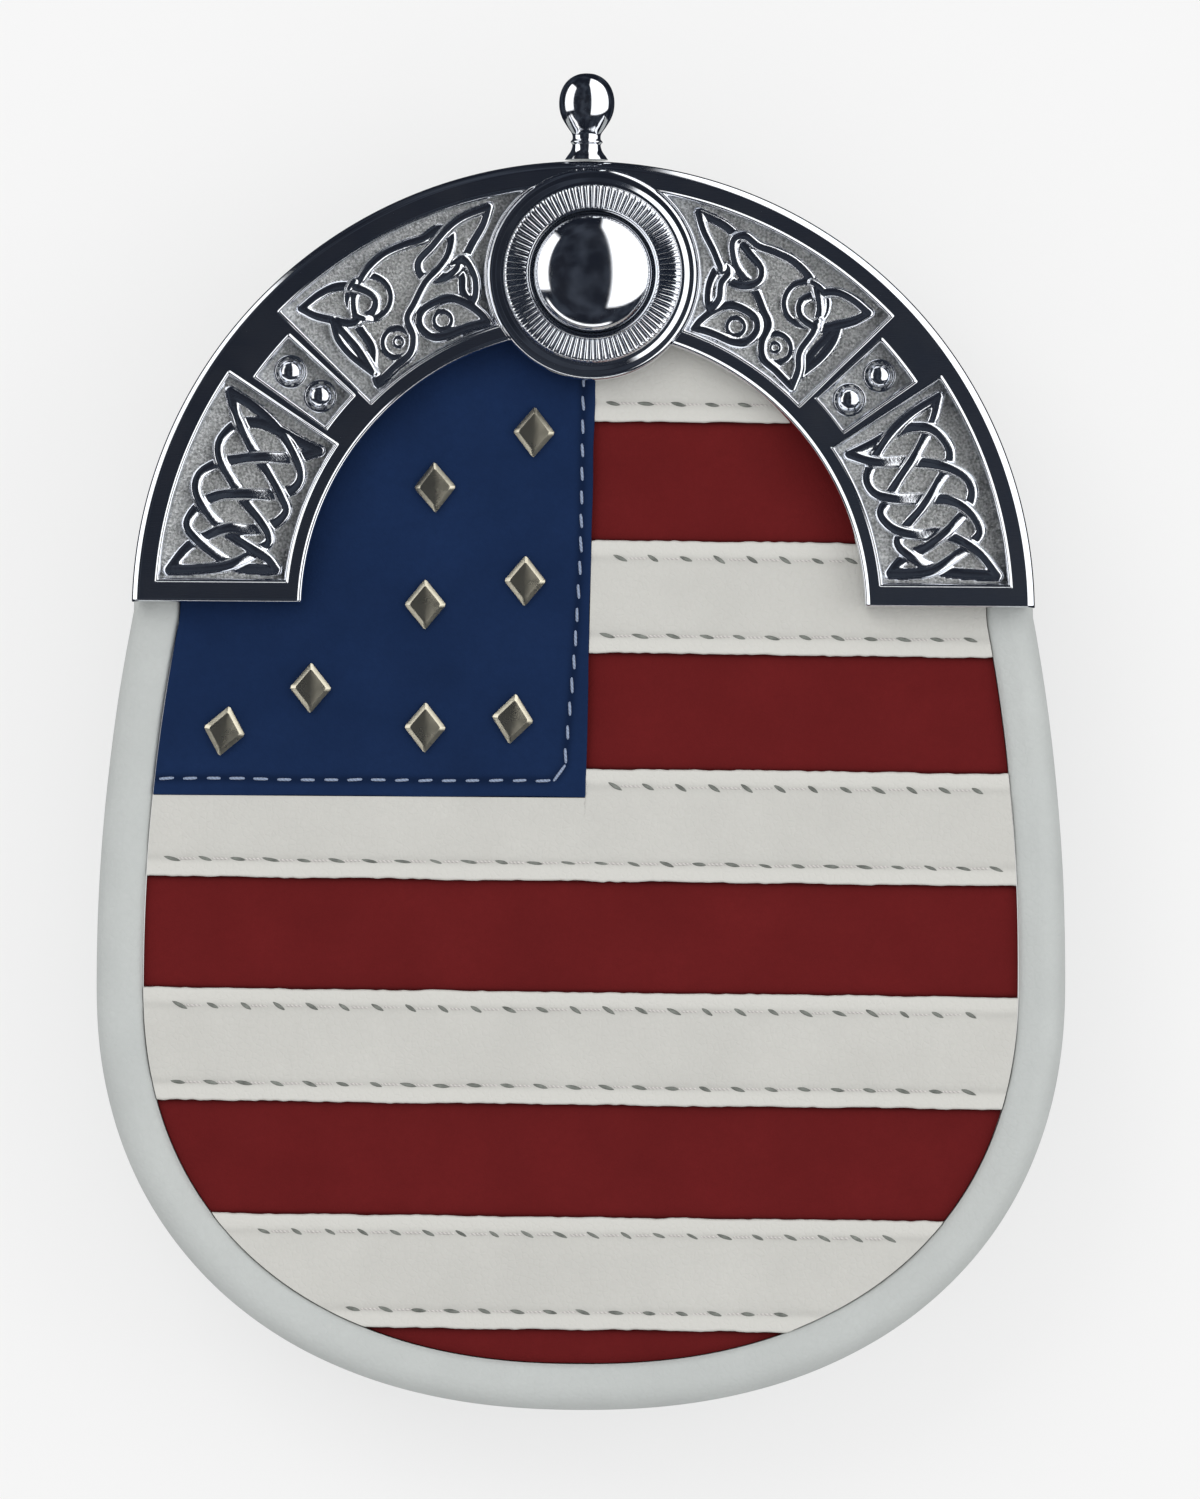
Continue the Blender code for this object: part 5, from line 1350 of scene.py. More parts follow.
def make_red_base():
    """The red leather that fills the face inside the rim, with a painted shadow where the stripes' edges meet
    it.
    """
    line = inset_outline(RIM_WIDTH + SEWN_GAP)
    low, high = line[:, 1].min() + 0.00004, line[:, 1].max() - 0.0012
    near = np.array([-0.9, -0.6, -0.42, -0.3, -0.2, -0.1, 0.0, 0.1, 0.2, 0.3, 0.42, 0.6, 0.9]) / 1000
    spans = [stripe_span(number) for number in range(len(STRIPE_NODES))]
    rows = [np.arange(low, high, 0.003), low + 0.006 * np.linspace(0.0, 1.0, 24) ** 2, np.array([high])]
    rows += [edge + near for span in spans for edge in span]
    rows = np.unique(np.concatenate(rows))
    rows = rows[(rows >= low) & (rows <= high)][:, None]
    x, y = fitted(rows, np.linspace(0.0, 1.0, 90)[None])
    z = front_face(x, y) + 0.00006 * dimples(x, y, 0.011, 21)
    # A painted shadow: a thin dark line on the red along each stripe's edge.
    shade = np.zeros_like(rows)
    for edge in np.ravel(spans):
        shade = np.maximum(shade, hump(rows - edge, 0.0004))
    upper, lower = stacked(x, y, z), stacked(x, y, front_face(x, y) - WALL_LEATHER)
    points, faces = bridged(np.concatenate([upper, lower[:, ::-1]], axis=1))
    values = {"deep": np.repeat(0.9 * shade, 2 * x.shape[1], axis=1)}
    make_piece("red_base", points, faces, "red_hide", ["front_panel"], 50, values)


def edge_places(width, inset, settings):
    """Places across a sewn strip, close together at its edges and seams."""
    reach = 1.6 * settings.channel_width
    stops = [
        (0.0, EDGE_STEP),
        (settings.edge_round, PLAIN_STEP * 0.8),
        (inset - reach, SEAM_STEP),
        (inset + reach, PLAIN_STEP),
    ]
    half = spaced(stops, width / 2)
    return np.concatenate([half, width - half[-2::-1]])


def worn_edge(distance, settings):
    """How far a cut edge is rounded down at a distance from it."""
    return EDGE_FALL * quarter_round(1 - distance / settings.edge_round)


def channel(distance, settings):
    """How far a seam pulls the leather down at a distance from it, from 0 to 1."""
    return hump(distance, settings.channel_width)


def stripe_slope(x):
    """How far the stripes' tilt lifts them at a place across the face."""
    return -math.tan(STRIPE_TILT) * x


def stripe_span(number):
    """A stripe's lower and upper edge."""
    bottom = FIRST_STRIPE_EDGE - (number + STRIPE_SLIPS[number]) * STRIPE_PITCH
    return bottom, min(bottom + STRIPE_WIDTH, CANTLE_RADIUS - RIM_WIDTH - STRIPE_WIDTH / 2)


def canton_side(y):
    """Where the stripes beside the canton start."""
    return canton_right(y) + SEWN_GAP


def stripe_left(number, y):
    """Where a stripe starts on its left: at the canton's edge, or at the rim's seam."""
    if stripe_span(number)[1] < CANTON_BOTTOM or y < CANTON_BOTTOM:
        return -float(seam_limit(y))
    return float(canton_side(y))


def stripe_plan(rows, low):
    """Plan places of a stripe, in columns from left to right. One that the canton overlaps is cut at its
    lower edge, and runs on to the left below it."""
    if rows[0, -1] < CANTON_BOTTOM:
        return fitted(rows, np.linspace(0.0, 1.0, 290)[:, None])
    right_x, right_y = fitted(rows, np.linspace(0.0, 1.0, 150)[:, None], canton_side)
    if low > CANTON_BOTTOM:
        return right_x, right_y
    keep, sliver = 0.006, 0.0001
    shares = np.linspace(0.0, 1.0, 140)[:, None]
    across = rows - low
    x = -seam_limit(rows) + shares * (canton_side(rows) - sliver + seam_limit(rows))
    for _ in range(2):
        start = low + stripe_slope(x)
        room = (CANTON_BOTTOM - SEWN_GAP - start - keep) / (across[0, -1] - keep)
        y = start + np.where(across < keep, across, keep + (across - keep) * room)
        x = -seam_limit(y) + shares * (canton_side(y) - sliver + seam_limit(y))
    return np.vstack([x, right_x]), np.vstack([y, right_y])


def make_stripe(number, settings, thread):
    """One white stripe: ragged cut edges, worn round, with a channel where each seam pulls it down."""
    low, high = stripe_span(number)
    across = edge_places(high - low, settings.stripe_seam, settings)
    x, y = stripe_plan(low + across[None], low)
    from_low = y - stripe_slope(x) - low
    from_high = high - low - from_low
    for from_edge, way, seed in ((from_low, -1, 50 + number), (from_high, 1, 60 + number)):
        stray = 0.50 * wander(x, 0.0060, seed) + 0.45 * wander(x, 0.0012, seed + 20)
        stray += 1.3 * np.maximum(wander(x, 0.0019, seed + 40) - 0.70, 0.0)
        y = y + way * settings.edge_wander * stray * smooth_step(-from_edge, -WANDER_REACH, 0.0)
    nearest = np.minimum(from_low, from_high)
    seam = np.abs(nearest - settings.stripe_seam)
    pull = 0.75 + 0.25 * np.cos(2 * math.pi * x / thread.stripe_pitch)
    sunk = channel(seam, settings)
    z = overlay_top(x, y) - worn_edge(nearest, settings) - settings.channel_depth * sunk * pull
    z += 0.00010 * smooth_step(nearest, settings.stripe_seam, settings.stripe_seam * 2.2)
    z += 0.00005 * dimples(x, y, 0.004, 80 + number)
    pale = 0.85 * (1 - smooth_step(nearest, settings.stripe_seam * 0.75, settings.stripe_seam * 1.05))
    # Painted shade: the seam's sunk channel is darkened in colour.
    deep = 0.13 * sunk
    base = front_face(x, y) + PIECE_GAP
    ends = stacked(x, y, base)[:, [-1, 0]]
    sections = np.concatenate([stacked(x, y, z), ends], axis=1)
    # A wall down to the base closes each end, because the worn and sewn face isn't flat there
    walls = sections[[0, -1]].copy()
    walls[:, :-2, 2] = base[[0, -1]] + 0.0001
    points, faces = bridged(np.concatenate([walls[:1], sections, walls[1:]]))
    values = {}
    for label, value in (("pale", pale), ("deep", deep)):
        value = np.pad(value, ((1, 1), (0, 0)), mode="edge")
        values[label] = np.pad(value, ((0, 0), (0, 2)))
    node = STRIPE_NODES[number]
    make_piece("sewn_" + node, points, faces, "white_hide", [node], 60, values)


def unit_bar(steps=9, sides=8, dip=0.9, power=4.0):
    """A thread's stitch, a unit long, wide and high, whose ends dip into the leather."""
    sections = []
    for s in np.linspace(-0.5, 0.5, steps):
        sink = dip * abs(2 * s) ** power
        thin = 1 - 0.35 * abs(2 * s) ** 3
        ring = [(s, 0.5 * thin * math.cos(t), 0.5 * thin * math.sin(t) - sink) for t in full_turn(sides)]
        sections.append(ring)
    points, faces = bridged(np.array(sections))
    return plain_mesh("stitch", points, faces)


def slit_shadow_lens():
    """A flat dark lens with pointed ends that paints an awl slit's shadow, a unit long, wide and high."""
    turns = np.linspace(0, 2 * math.pi, 7)[:-1]
    sections = []
    for s in np.linspace(-0.5, 0.5, 9):
        half = 0.5 * max(1 - (2 * s) ** 2, 0.03) ** 0.8
        sections.append([(s, half * math.cos(t), half * math.sin(t)) for t in turns])
    points, faces = bridged(np.array(sections))
    return plain_mesh("slit", points, faces)


def seam_line(number, way, settings):
    """One of a stripe's two seams, as points from left to right on the leather."""
    low, high = stripe_span(number)
    row = low + settings.stripe_seam if way < 0 else high - settings.stripe_seam
    left, right = stripe_left(number, row), float(seam_limit(row))
    right = float(seam_limit(row + stripe_slope(right)))
    start = left + (SEAM_FROM_RIM_LEFT if left < 0 else SEAM_FROM_CANTON)
    x = np.linspace(start, right - SEAM_FROM_RIM_RIGHT, 400)
    y = row + stripe_slope(x) + 0.00012 * wander(x, 0.008, 90 + 2 * number + (way > 0))
    return np.column_stack([x, y])


def make_stripe_seams(settings, thread):
    """The stripes' seams: at each stitch a dark lens that paints its slanted awl slit's shadow, and the
    thread between.
    """
    slits, threads, slit_turns = [], [], []
    for number in range(len(STRIPE_NODES)):
        for way, slant, phase in ((-1, thread.lower_slant, 0.25), (1, thread.upper_slant, 0.6)):
            line = seam_line(number, way, settings)
            start = line[0, 0] + phase * thread.stripe_pitch
            for x in np.arange(start, line[-1, 0], thread.stripe_pitch):
                slits.append((x, np.interp(x, *line.T)))
                slit_turns.append(math.radians(slant))
                middle = x + thread.stripe_pitch / 2
                if middle + 0.4 * thread.stripe_pitch < line[-1, 0]:
                    threads.append((middle, np.interp(middle, *line.T)))
    slits, threads = np.array(slits), np.array(threads)
    slit_z = overlay_top(*slits.T) - settings.channel_depth + SLIT_LIFT
    thread_z = overlay_top(*threads.T) - settings.channel_depth + STRIPE_THREAD_LIFT
    # Dark lenses at the awl slits paint each slit's shadow.
    sizes = copy_sizes(thread.stripe_slit, thread.stripe_slit_width, SLIT_HEIGHT, 0.14, 0.14, seed=5)
    places, turns = np.column_stack([slits, slit_z]), slit_turns
    repeated("stripe_slits", slit_shadow_lens(), places, turns, "awl_slit", STRIPE_NODES, sizes)
    long = 0.80 * thread.stripe_pitch
    sizes = copy_sizes(long, STRIPE_THREAD_WIDTH, STRIPE_THREAD_HEIGHT, 0.03, 0.05, seed=9)
    places = np.column_stack([threads, thread_z])
    turns = [-STRIPE_TILT] * len(threads)
    repeated("stripe_thread", unit_bar(), places, turns, "white_thread", STRIPE_NODES, sizes)


def canton_seam(settings):
    """The canton's seam from its top, down beside the right edge, across the corner and to the left."""
    inset = settings.canton_seam
    turn_y = CANTON_BOTTOM + inset + CANTON_CORNER
    ys = np.linspace(CANTON_TOP - 0.004, turn_y, 60)
    up = (ys - CANTON_BOTTOM) / (CANTON_TOP - CANTON_BOTTOM)
    side = np.interp(up, *zip(*CANTON_SIDE_SEAM))
    right = np.column_stack([canton_right(ys) - side, ys])
    row = CANTON_BOTTOM + inset
    start = right[-1, 0] - CANTON_CORNER * 0.75
    xs = np.linspace(start, -float(seam_limit(row)) + 0.0004, 60)
    bottom = np.column_stack([xs, row + 0.00015 * wander(xs, 0.012, 33)])
    return right, bottom


def distance_to(line, x, y):
    """The least distance from each place to a line of points."""
    least = np.full(x.shape, np.inf)
    for (ax, ay), (bx, by) in zip(line, line[1:]):
        run = (bx - ax, by - ay)
        t = np.clip(((x - ax) * run[0] + (y - ay) * run[1]) / (run[0] ** 2 + run[1] ** 2), 0.0, 1.0)
        least = np.minimum(least, np.hypot(x - ax - run[0] * t, y - ay - run[1] * t))
    return least


def make_canton(settings):
    """The blue canton: a leather patch over the stripes' ends, sewn down along two edges."""
    seam = CANTON_BOTTOM + settings.canton_seam
    stops = [
        (CANTON_BOTTOM, EDGE_STEP),
        (CANTON_BOTTOM + settings.edge_round, PLAIN_STEP),
        (seam - 0.0012, SEAM_STEP),
        (seam + 0.0012, PLAIN_STEP),
    ]
    rows = spaced(stops, CANTON_TOP)
    stops = [(0.0, EDGE_STEP), (settings.edge_round, PLAIN_STEP), (0.0008, SEAM_STEP), (0.0048, PLAIN_STEP)]
    inward = spaced(stops, CANTON_WIDEST)
    shares = inward / CANTON_WIDEST
    y = rows[:, None] + 0 * shares[None]
    right, left = canton_right(y) + SEWN_GAP, -seam_limit(y)
    x = np.maximum(right - inward[None], left + (right - left) * (1 - shares[None]) * 0.02)
    from_right, from_bottom = right - x, y - CANTON_BOTTOM
    stray = settings.edge_wander * 0.5 * wander(y, 0.007, 71)
    x = x + stray * smooth_step(-from_right, -WANDER_REACH, 0.0)
    stray = settings.edge_wander * 0.5 * wander(x, 0.007, 72)
    y = y + stray * smooth_step(-from_bottom, -WANDER_REACH, 0.0)
    nearest = np.minimum(from_right, from_bottom)
    down, along = canton_seam(settings)
    line = np.vstack([down, along])
    sunk = channel(distance_to(evenly(line, 60), x, y), settings)
    z = overlay_top(x, y) + settings.canton_lift - worn_edge(nearest, settings)
    z += 0.00006 * dimples(x, y, 0.006, 73) - settings.channel_depth * 0.9 * sunk
    pale = 0.16 * (1 - smooth_step(nearest, 0.0, 0.0004))
    # Painted shade: the seam's sunk channel is darkened in colour.
    deep = 0.75 * sunk
    ends = stacked(x, y, front_face(x, y) + PIECE_GAP)[:, [-1, 0]]
    points, faces = bridged(np.concatenate([stacked(x, y, z), ends], axis=1))
    none = np.zeros((len(rows), 2))
    values = {"pale": np.hstack([pale, none]), "deep": np.hstack([deep, none])}
    make_piece("sewn_canton", points, faces, "blue_hide", ["canton"], values=values)


def make_canton_stitches(settings, thread):
    """The canton's pale stitches along its two edges, and the one across its corner."""
    down, along = canton_seam(settings)
    spots, turns, reaches = [], [], []
    for line in (down, along):
        reach = np.concatenate([[0.0], np.cumsum(np.hypot(*np.diff(line, axis=0).T))])
        for k in range(int((reach[-1] - thread.canton_stitch / 2) / thread.canton_pitch) + 1):
            place = thread.canton_stitch * 0.6 + k * thread.canton_pitch
            if line is down:
                place = reach[-1] - place
            x, y = (float(np.interp(place, reach, line[:, axis])) for axis in (0, 1))
            ahead = [float(np.interp(place + 0.001, reach, line[:, axis])) for axis in (0, 1)]
            behind = [float(np.interp(place - 0.001, reach, line[:, axis])) for axis in (0, 1)]
            slant = 0.10 if line is down else 0.03
            spots.append((x, y))
            turns.append(math.atan2(ahead[1] - behind[1], ahead[0] - behind[0]) + slant)
            reaches.append(1.0)
    corner = (down[-1] + along[0]) / 2
    way = along[0] - down[-1]
    spots.append(tuple(corner))
    turns.append(math.atan2(way[1], way[0]))
    reaches.append(thread.corner_stitch / thread.canton_stitch)
    spots = np.array(spots)
    lift = settings.canton_lift - settings.channel_depth + 0.22 * thread.thickness
    places = np.column_stack([spots, overlay_top(*spots.T) + lift])
    sizes = copy_sizes(thread.canton_stitch, thread.thickness, thread.thickness * 0.8, 0.05, 0.09, seed=3)
    stitch, nodes = unit_bar(), ["canton"]
    repeated("canton_stitches", stitch, places, turns, "pale_thread", nodes, sizes, reaches)


def diamond(rounding, steps=4):
    """A unit diamond's outline with its corners rounded off, anticlockwise."""
    corners = [np.array(c) for c in ((0.5, 0.0), (0.0, 0.5), (-0.5, 0.0), (0.0, -0.5))]
    outline = []
    for k, here in enumerate(corners):
        before, after = corners[k - 1] - here, corners[(k + 1) % 4] - here
        outline += round_corner(here + before * rounding, here, here + after * rounding, steps)
    return np.array(outline)


def stud_shape():
    """A pressed diamond stud, a unit long, wide and high: an upright skirt, a bevel and a low crown."""
    rings = [
        {"reach": 1.00, "rise": 0.00, "round": 0.0},
        {"reach": 1.00, "rise": 0.56, "round": 0.0},
        {"reach": 0.985, "rise": 0.59, "round": 0.0},
        {"reach": 0.735, "rise": 0.894, "round": 0.0},
        {"reach": 0.70, "rise": 0.902, "round": 0.0},
        {"reach": 0.58, "rise": 0.925, "round": 0.35},
        {"reach": 0.42, "rise": 0.955, "round": 0.7},
        {"reach": 0.22, "rise": 0.985, "round": 1.0},
    ]
    outline = evenly(diamond(0.07), 48, closed=True)
    turns = np.arctan2(outline[:, 1], outline[:, 0])
    circle = 0.38 * np.column_stack([np.cos(turns), np.sin(turns)])
    sections = []
    for ring in rings:
        plan = (outline * (1 - ring["round"]) + circle * ring["round"]) * ring["reach"]
        sections.append(np.column_stack([plan, np.full(len(plan), ring["rise"])]))
    points, faces = bridged(np.array(sections))
    faces.pop()
    top = (len(rings) - 1) * len(outline)
    points = np.vstack([points, [0.0, 0.0, 1.0]])
    faces += [[top + k, top + (k + 1) % len(outline), len(points) - 1] for k in range(len(outline))]
    return plain_mesh("stud", points, faces)


def make_studs(settings):
    """Eight diamond studs, each where its solid stands."""
    places, nodes = [], []
    for number in range(len(STUD_LEANS)):
        node = "diamond_stud_" + str(number + 1)
        low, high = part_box(node)
        x, y = (low.x + high.x) / 2, (low.y + high.y) / 2 - CENTRE_Y
        places.append((x, y, low.z - 0.0001))
        nodes.append(node)
    sizes = copy_sizes(settings.stud_width, settings.stud_length, settings.stud_height)
    turns = [math.radians(lean) for lean in STUD_LEANS]
    piece = repeated("diamond_studs", stud_shape(), places, turns, "stud_nickel", nodes, sizes)
    piece.data.set_sharp_from_angle(angle=math.radians(22))


def rounded_rectangle(half, bottom, top, corner, steps=8):
    """A rectangle's outline with round corners, anticlockwise from its lower right corner."""
    rows = [(half - corner, bottom + corner, -90), (half - corner, top - corner, 0)]
    rows += [(corner - half, top - corner, 90), (corner - half, bottom + corner, 180)]
    turns = [(x, y, math.radians(start + 90 * k / steps)) for x, y, start in rows for k in range(steps + 1)]
    return np.array([(x + corner * math.cos(a), y + corner * math.sin(a)) for x, y, a in turns])


def radius_at(line, centre, angles):
    """How far a star-shaped line is from a centre, at each angle."""
    across, along = (line - centre).T
    turn = np.arctan2(along, across) % (2 * math.pi)
    order = np.argsort(turn)
    return np.interp(angles, turn[order], np.hypot(across, along)[order], period=2 * math.pi)


def make_back_panel():
    """The back leather, with the pouch's mouth cut through it."""
    centre = np.array([0.0, MOUTH_BOTTOM + MOUTH_HEIGHT / 2])
    mouth = rounded_rectangle(MOUTH_HALF_WIDTH, MOUTH_BOTTOM, MOUTH_BOTTOM + MOUTH_HEIGHT, MOUTH_HEIGHT / 4)
    angles = full_turn(360)
    near = radius_at(evenly(mouth, 2000, closed=True), centre, angles)
    far = radius_at(inset_outline(BACK_ROLL_WIDTH + PIECE_GAP, 2000), centre, angles)
    shares = np.linspace(0.0, 1.0, 40)
    radius = near[:, None] + (far - near)[:, None] * shares
    x = centre[0] + radius * np.cos(angles)[:, None]
    y = centre[1] + radius * np.sin(angles)[:, None]
    low = back_face(y)
    outer = stacked(x, y, low)
    inner = stacked(x, y, low + WALL_LEATHER)[:, ::-1]
    points, faces = bridged(np.concatenate([outer, inner], axis=1), closed=True)
    make_piece("back_leather_panel", points, faces, "back_hide", ["back_panel"], sharp=50)


def flap_half(y):
    """Half the flap's width at a height, with its lower corners rounded."""
    half, bottom = (FLAP_HIGH.x - FLAP_LOW.x) / 2, FLAP_LOW.y - CENTRE_Y
    return half - FLAP_CORNER * quarter_round(1 - (y - bottom) / FLAP_CORNER)


def make_flap(settings):
    """The flap over the mouth, sunk along its seam."""
    bottom, top = FLAP_LOW.y - CENTRE_Y, FLAP_HIGH.y - CENTRE_Y
    turn = np.linspace(0.0, math.pi / 2, 14)
    corner = bottom + FLAP_CORNER * (1 - np.cos(turn))
    ys = np.concatenate([corner, np.linspace(bottom + FLAP_CORNER, top, 60)[1:]])
    shares = np.linspace(-1.0, 1.0, 90)
    x = flap_half(ys)[:, None] * shares
    y = ys[:, None] + 0 * x
    upper = back_face(y) - PIECE_GAP
    edge = np.minimum(flap_half(ys)[:, None] * (1 - np.abs(shares)), y - bottom)
    lower = upper - WALL_LEATHER + worn_edge(edge, settings)
    sunk = hump(edge - FLAP_SEAM, 0.0007)
    lower += settings.channel_depth * sunk
    outer, inner = stacked(x, y, lower), stacked(x, y, upper)[:, ::-1]
    points, faces = bridged(np.concatenate([outer, inner], axis=1))
    # Painted shade: the seam's sunk channel is darkened in colour.
    deep = np.hstack([0.2 * sunk, 0 * sunk])
    make_piece("mouth_flap", points, faces, "back_hide", ["back_flap"], values={"deep": deep})


def make_flap_stitches(thread):
    """The seam along the flap's edge, three sides round."""
    bottom, top = FLAP_LOW.y - CENTRE_Y, FLAP_HIGH.y - CENTRE_Y
    rows = np.linspace(bottom + FLAP_SEAM, top - 0.002, 400)
    half = flap_half(rows) - FLAP_SEAM
    line = np.vstack([np.column_stack([-half, rows])[::-1], np.column_stack([half, rows])])
    count = round(float(np.hypot(*np.diff(line, axis=0).T).sum()) / thread.canton_pitch)
    spots = evenly(line, count)
    way = np.gradient(spots, axis=0)
    turns = np.arctan2(way[:, 1], way[:, 0])
    z = back_face(spots[:, 1]) - PIECE_GAP - WALL_LEATHER + 0.00012
    sizes = copy_sizes(thread.canton_stitch, thread.thickness, -thread.thickness * 0.8, 0.04, 0.06, seed=4)
    places = np.column_stack([spots, z])
    stitch, nodes = unit_bar(), ["back_flap"]
    piece = repeated("flap_stitches", stitch, places, turns, "white_thread", nodes, sizes)
    face_outwards(piece.data)


def make_snap():
    """The press stud's cap, with a rounded edge and a low dome in its middle."""
    reach = (SNAP_HIGH.x - SNAP_LOW.x) / 2
    middle = (SNAP_LOW.y + SNAP_HIGH.y) / 2 - CENTRE_Y
    profile = [(0.0, 0.0), (reach, 0.0), (reach, 0.0004), (0.97 * reach, 0.0007), (0.90 * reach, 0.00085)]
    profile += [(0.82 * reach, 0.0006), (0.78 * reach, 0.0006)]
    profile += dome_profile(0.74 * reach, 0.0006, 0.0006, 10)

    def place(a, b, height):
        ground = back_face(middle + b) - 2 * PIECE_GAP - WALL_LEATHER
        return stacked(a, middle + b + 0 * a, ground - height)

    points, faces = turned(profile, 72, place)
    make_piece("snap_cap", points, faces, "polished_casting", ["flap_snap"])


def make_loops():
    """Two leather loops for the waist strap, each a bridge that is sewn down at its feet."""
    for node in ("strap_loop_left", "strap_loop_right"):
        box_low, box_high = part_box(node)
        low, high = box_low.y - CENTRE_Y, box_high.y - CENTRE_Y
        inner_low, inner_high = low + LOOP_FOOT, high - LOOP_FOOT
        half = WALL_LEATHER / 2
        sewn = [float(back_face(y)) - PIECE_GAP - half for y in (low, inner_low, inner_high, high)]
        corners = [
            (low, sewn[0], 0.0),
            (inner_low - 0.0004, sewn[1], 0.0011),
            (inner_low + 0.0014, half, 0.0022),
            (inner_high - 0.0014, half, 0.0022),
            (inner_high + 0.0004, sewn[2], 0.0011),
            (high, sewn[3], 0.0),
        ]
        path = evenly(np.array(rounded_profile(corners, 8)), 70)
        way = np.gradient(path, axis=0)
        way /= np.linalg.norm(way, axis=1)[:, None]
        up = np.stack([-way[:, 1], way[:, 0]], axis=1)
        width = box_high.x - box_low.x
        section = rounded_rectangle(width / 2, -half, half, 0.0005, 4)
        centre = (box_low.x + box_high.x) / 2
        across = centre + section[:, 0]
        yz = path[:, None] + up[:, None] * section[None, :, 1:]
        sections = np.concatenate([np.broadcast_to(across[None, :, None], yz.shape[:2] + (1,)), yz], axis=2)
        points, faces = bridged(sections)
        points[:, 2] = np.maximum(points[:, 2], 0.0)
        make_piece(node + "_leather", points, faces, "back_hide", [node], sharp=50)


def make_world(settings):
    """Even light for the leather, and for the metal a dark studio with three softboxes."""
    world = bpy.data.worlds.new("studio")
    bpy.context.scene.world = world
    world.use_nodes = True
    desk = Desk(world.node_tree)
    way = desk.add("ShaderNodeTexCoord").outputs["Generated"]
    parts = desk.add("ShaderNodeSeparateXYZ", {"Vector": way}).outputs

    def side_of(a, b, c, offset, soft=0.03):
        """1 on the side of a plane through the middle where a x + b y + c z is over an offset."""
        total = desk.math("MULTIPLY", parts["X"], a)
        total = desk.math("MULTIPLY_ADD", parts["Y"], b, total)
        total = desk.math("MULTIPLY_ADD", parts["Z"], c, total)
        return desk.remap(total, offset - soft, offset + soft)

    boxes = []
    for box in SOFTBOXES:
        mask = side_of(*box[0])
        for plane in box[1:]:
            mask = desk.math("MULTIPLY", mask, side_of(*plane))
        boxes.append(mask)
    lit = desk.math("MAXIMUM", desk.math("MAXIMUM", boxes[0], boxes[1]), boxes[2])
    haze = desk.remap(desk.noise(way, 2.2, 3.0), 0.45, 0.75)
    dark = desk.blend(haze, (0.012, 0.015, 0.023, 1.0), (0.055, 0.065, 0.085, 1.0))
    bright = rgb((1.0, 1.0, 1.0))
    mirrored = desk.blend(lit, dark, bright)
    strength = desk.math("MULTIPLY_ADD", lit, settings.box_strength - 1.0, 1.0)
    studio = desk.add("ShaderNodeBackground", {"Color": mirrored, "Strength": strength})
    sided = desk.math("MULTIPLY_ADD", parts["X"], 0.12, parts["Z"])
    above = desk.remap(sided, -0.3, 0.9, 0.48, 1.06)
    even = desk.math("MULTIPLY", above, settings.room_strength)
    room = desk.add("ShaderNodeBackground", {"Color": (1.0, 1.0, 1.0, 1.0), "Strength": even})
    glossy = desk.add("ShaderNodeLightPath").outputs["Is Glossy Ray"]
    seen = desk.add("ShaderNodeMixShader", {0: glossy, 1: room.outputs[0], 2: studio.outputs[0]})
    desk.add("ShaderNodeOutputWorld", {"Surface": seen.outputs[0]})


def make_floor(settings):
    """A wide pale floor that shows little more than a contact shadow."""
    reach = 3.0
    corners = [(-reach, -reach, 0.0), (reach, -reach, 0.0), (reach, reach, 0.0), (-reach, reach, 0.0)]
    mesh = bpy.data.meshes.new("floor")
    mesh.from_pydata(corners, [], [(0, 1, 2, 3)])
    floor = bpy.data.objects.new("floor", mesh)
    bpy.context.scene.collection.objects.link(floor)
    made, desk, shader, place = new_finish("floor_paper")
    tone = desk.blend(desk.noise(place, 25.0), rgb(settings.floor, 0.99), rgb(settings.floor, 1.01))
    desk.fill(shader, {"Base Color": tone, "Roughness": 0.9, "Specular IOR Level": 0.0})
    desk.fill(shader, {"Emission Color": rgb((1.0, 1.0, 1.0)), "Emission Strength": settings.floor_glow})
    mesh.materials.append(made)
    floor.visible_glossy = False


def make_lights():
    """Two wide weak lights that model the leather and don't show in the metal."""
    rows = [
        {"name": "upper_left", "at": (-0.7, 0.8, 1.3), "size": 0.9, "power": 5.0},
        {"name": "right", "at": (1.0, 0.1, 0.9), "size": 0.8, "power": 2.0},
    ]
    for row in rows:
        data = bpy.data.lights.new(row["name"], "AREA")
        data.energy = row["power"]
        data.size = row["size"]
        light = bpy.data.objects.new(row["name"], data)
        light.location = row["at"]
        light.rotation_euler = (-Vector(row["at"])).to_track_quat("-Z", "Y").to_euler()
        light.visible_glossy = False
        bpy.context.scene.collection.objects.link(light)


def make_camera(settings):
    """A long lens that looks straight down at the face."""
    data = bpy.data.cameras.new("camera")
    data.lens = settings.lens
    data.sensor_width = 36.0
    data.clip_start = 0.05
    camera = bpy.data.objects.new("camera", data)
    camera.location = (settings.aim_x, settings.aim_y, settings.height)
    camera.rotation_euler = (0.0, 0.0, math.radians(settings.roll))
    bpy.context.scene.collection.objects.link(camera)
    bpy.context.scene.camera = camera


class SPORRAN_OT_stage(bpy.types.Operator):
    """Set up the camera, the pale floor and the soft studio light"""

    bl_idname = "sporran.stage"
    bl_label = "Stage"

    def execute(self, context):
        settings = context.scene.sporran_stage
        context.scene.view_settings.view_transform = "Standard"
        make_camera(settings)
        make_world(settings)
        make_floor(settings)
        make_lights()
        return {"FINISHED"}


class SPORRAN_OT_rim(bpy.types.Operator):
    """Roll the gusset and its rim"""

    bl_idname = "sporran.rim"
    bl_label = "Rolled Rim"

    def execute(self, context):
        make_rim(context.scene.sporran_leather)
        return {"FINISHED"}


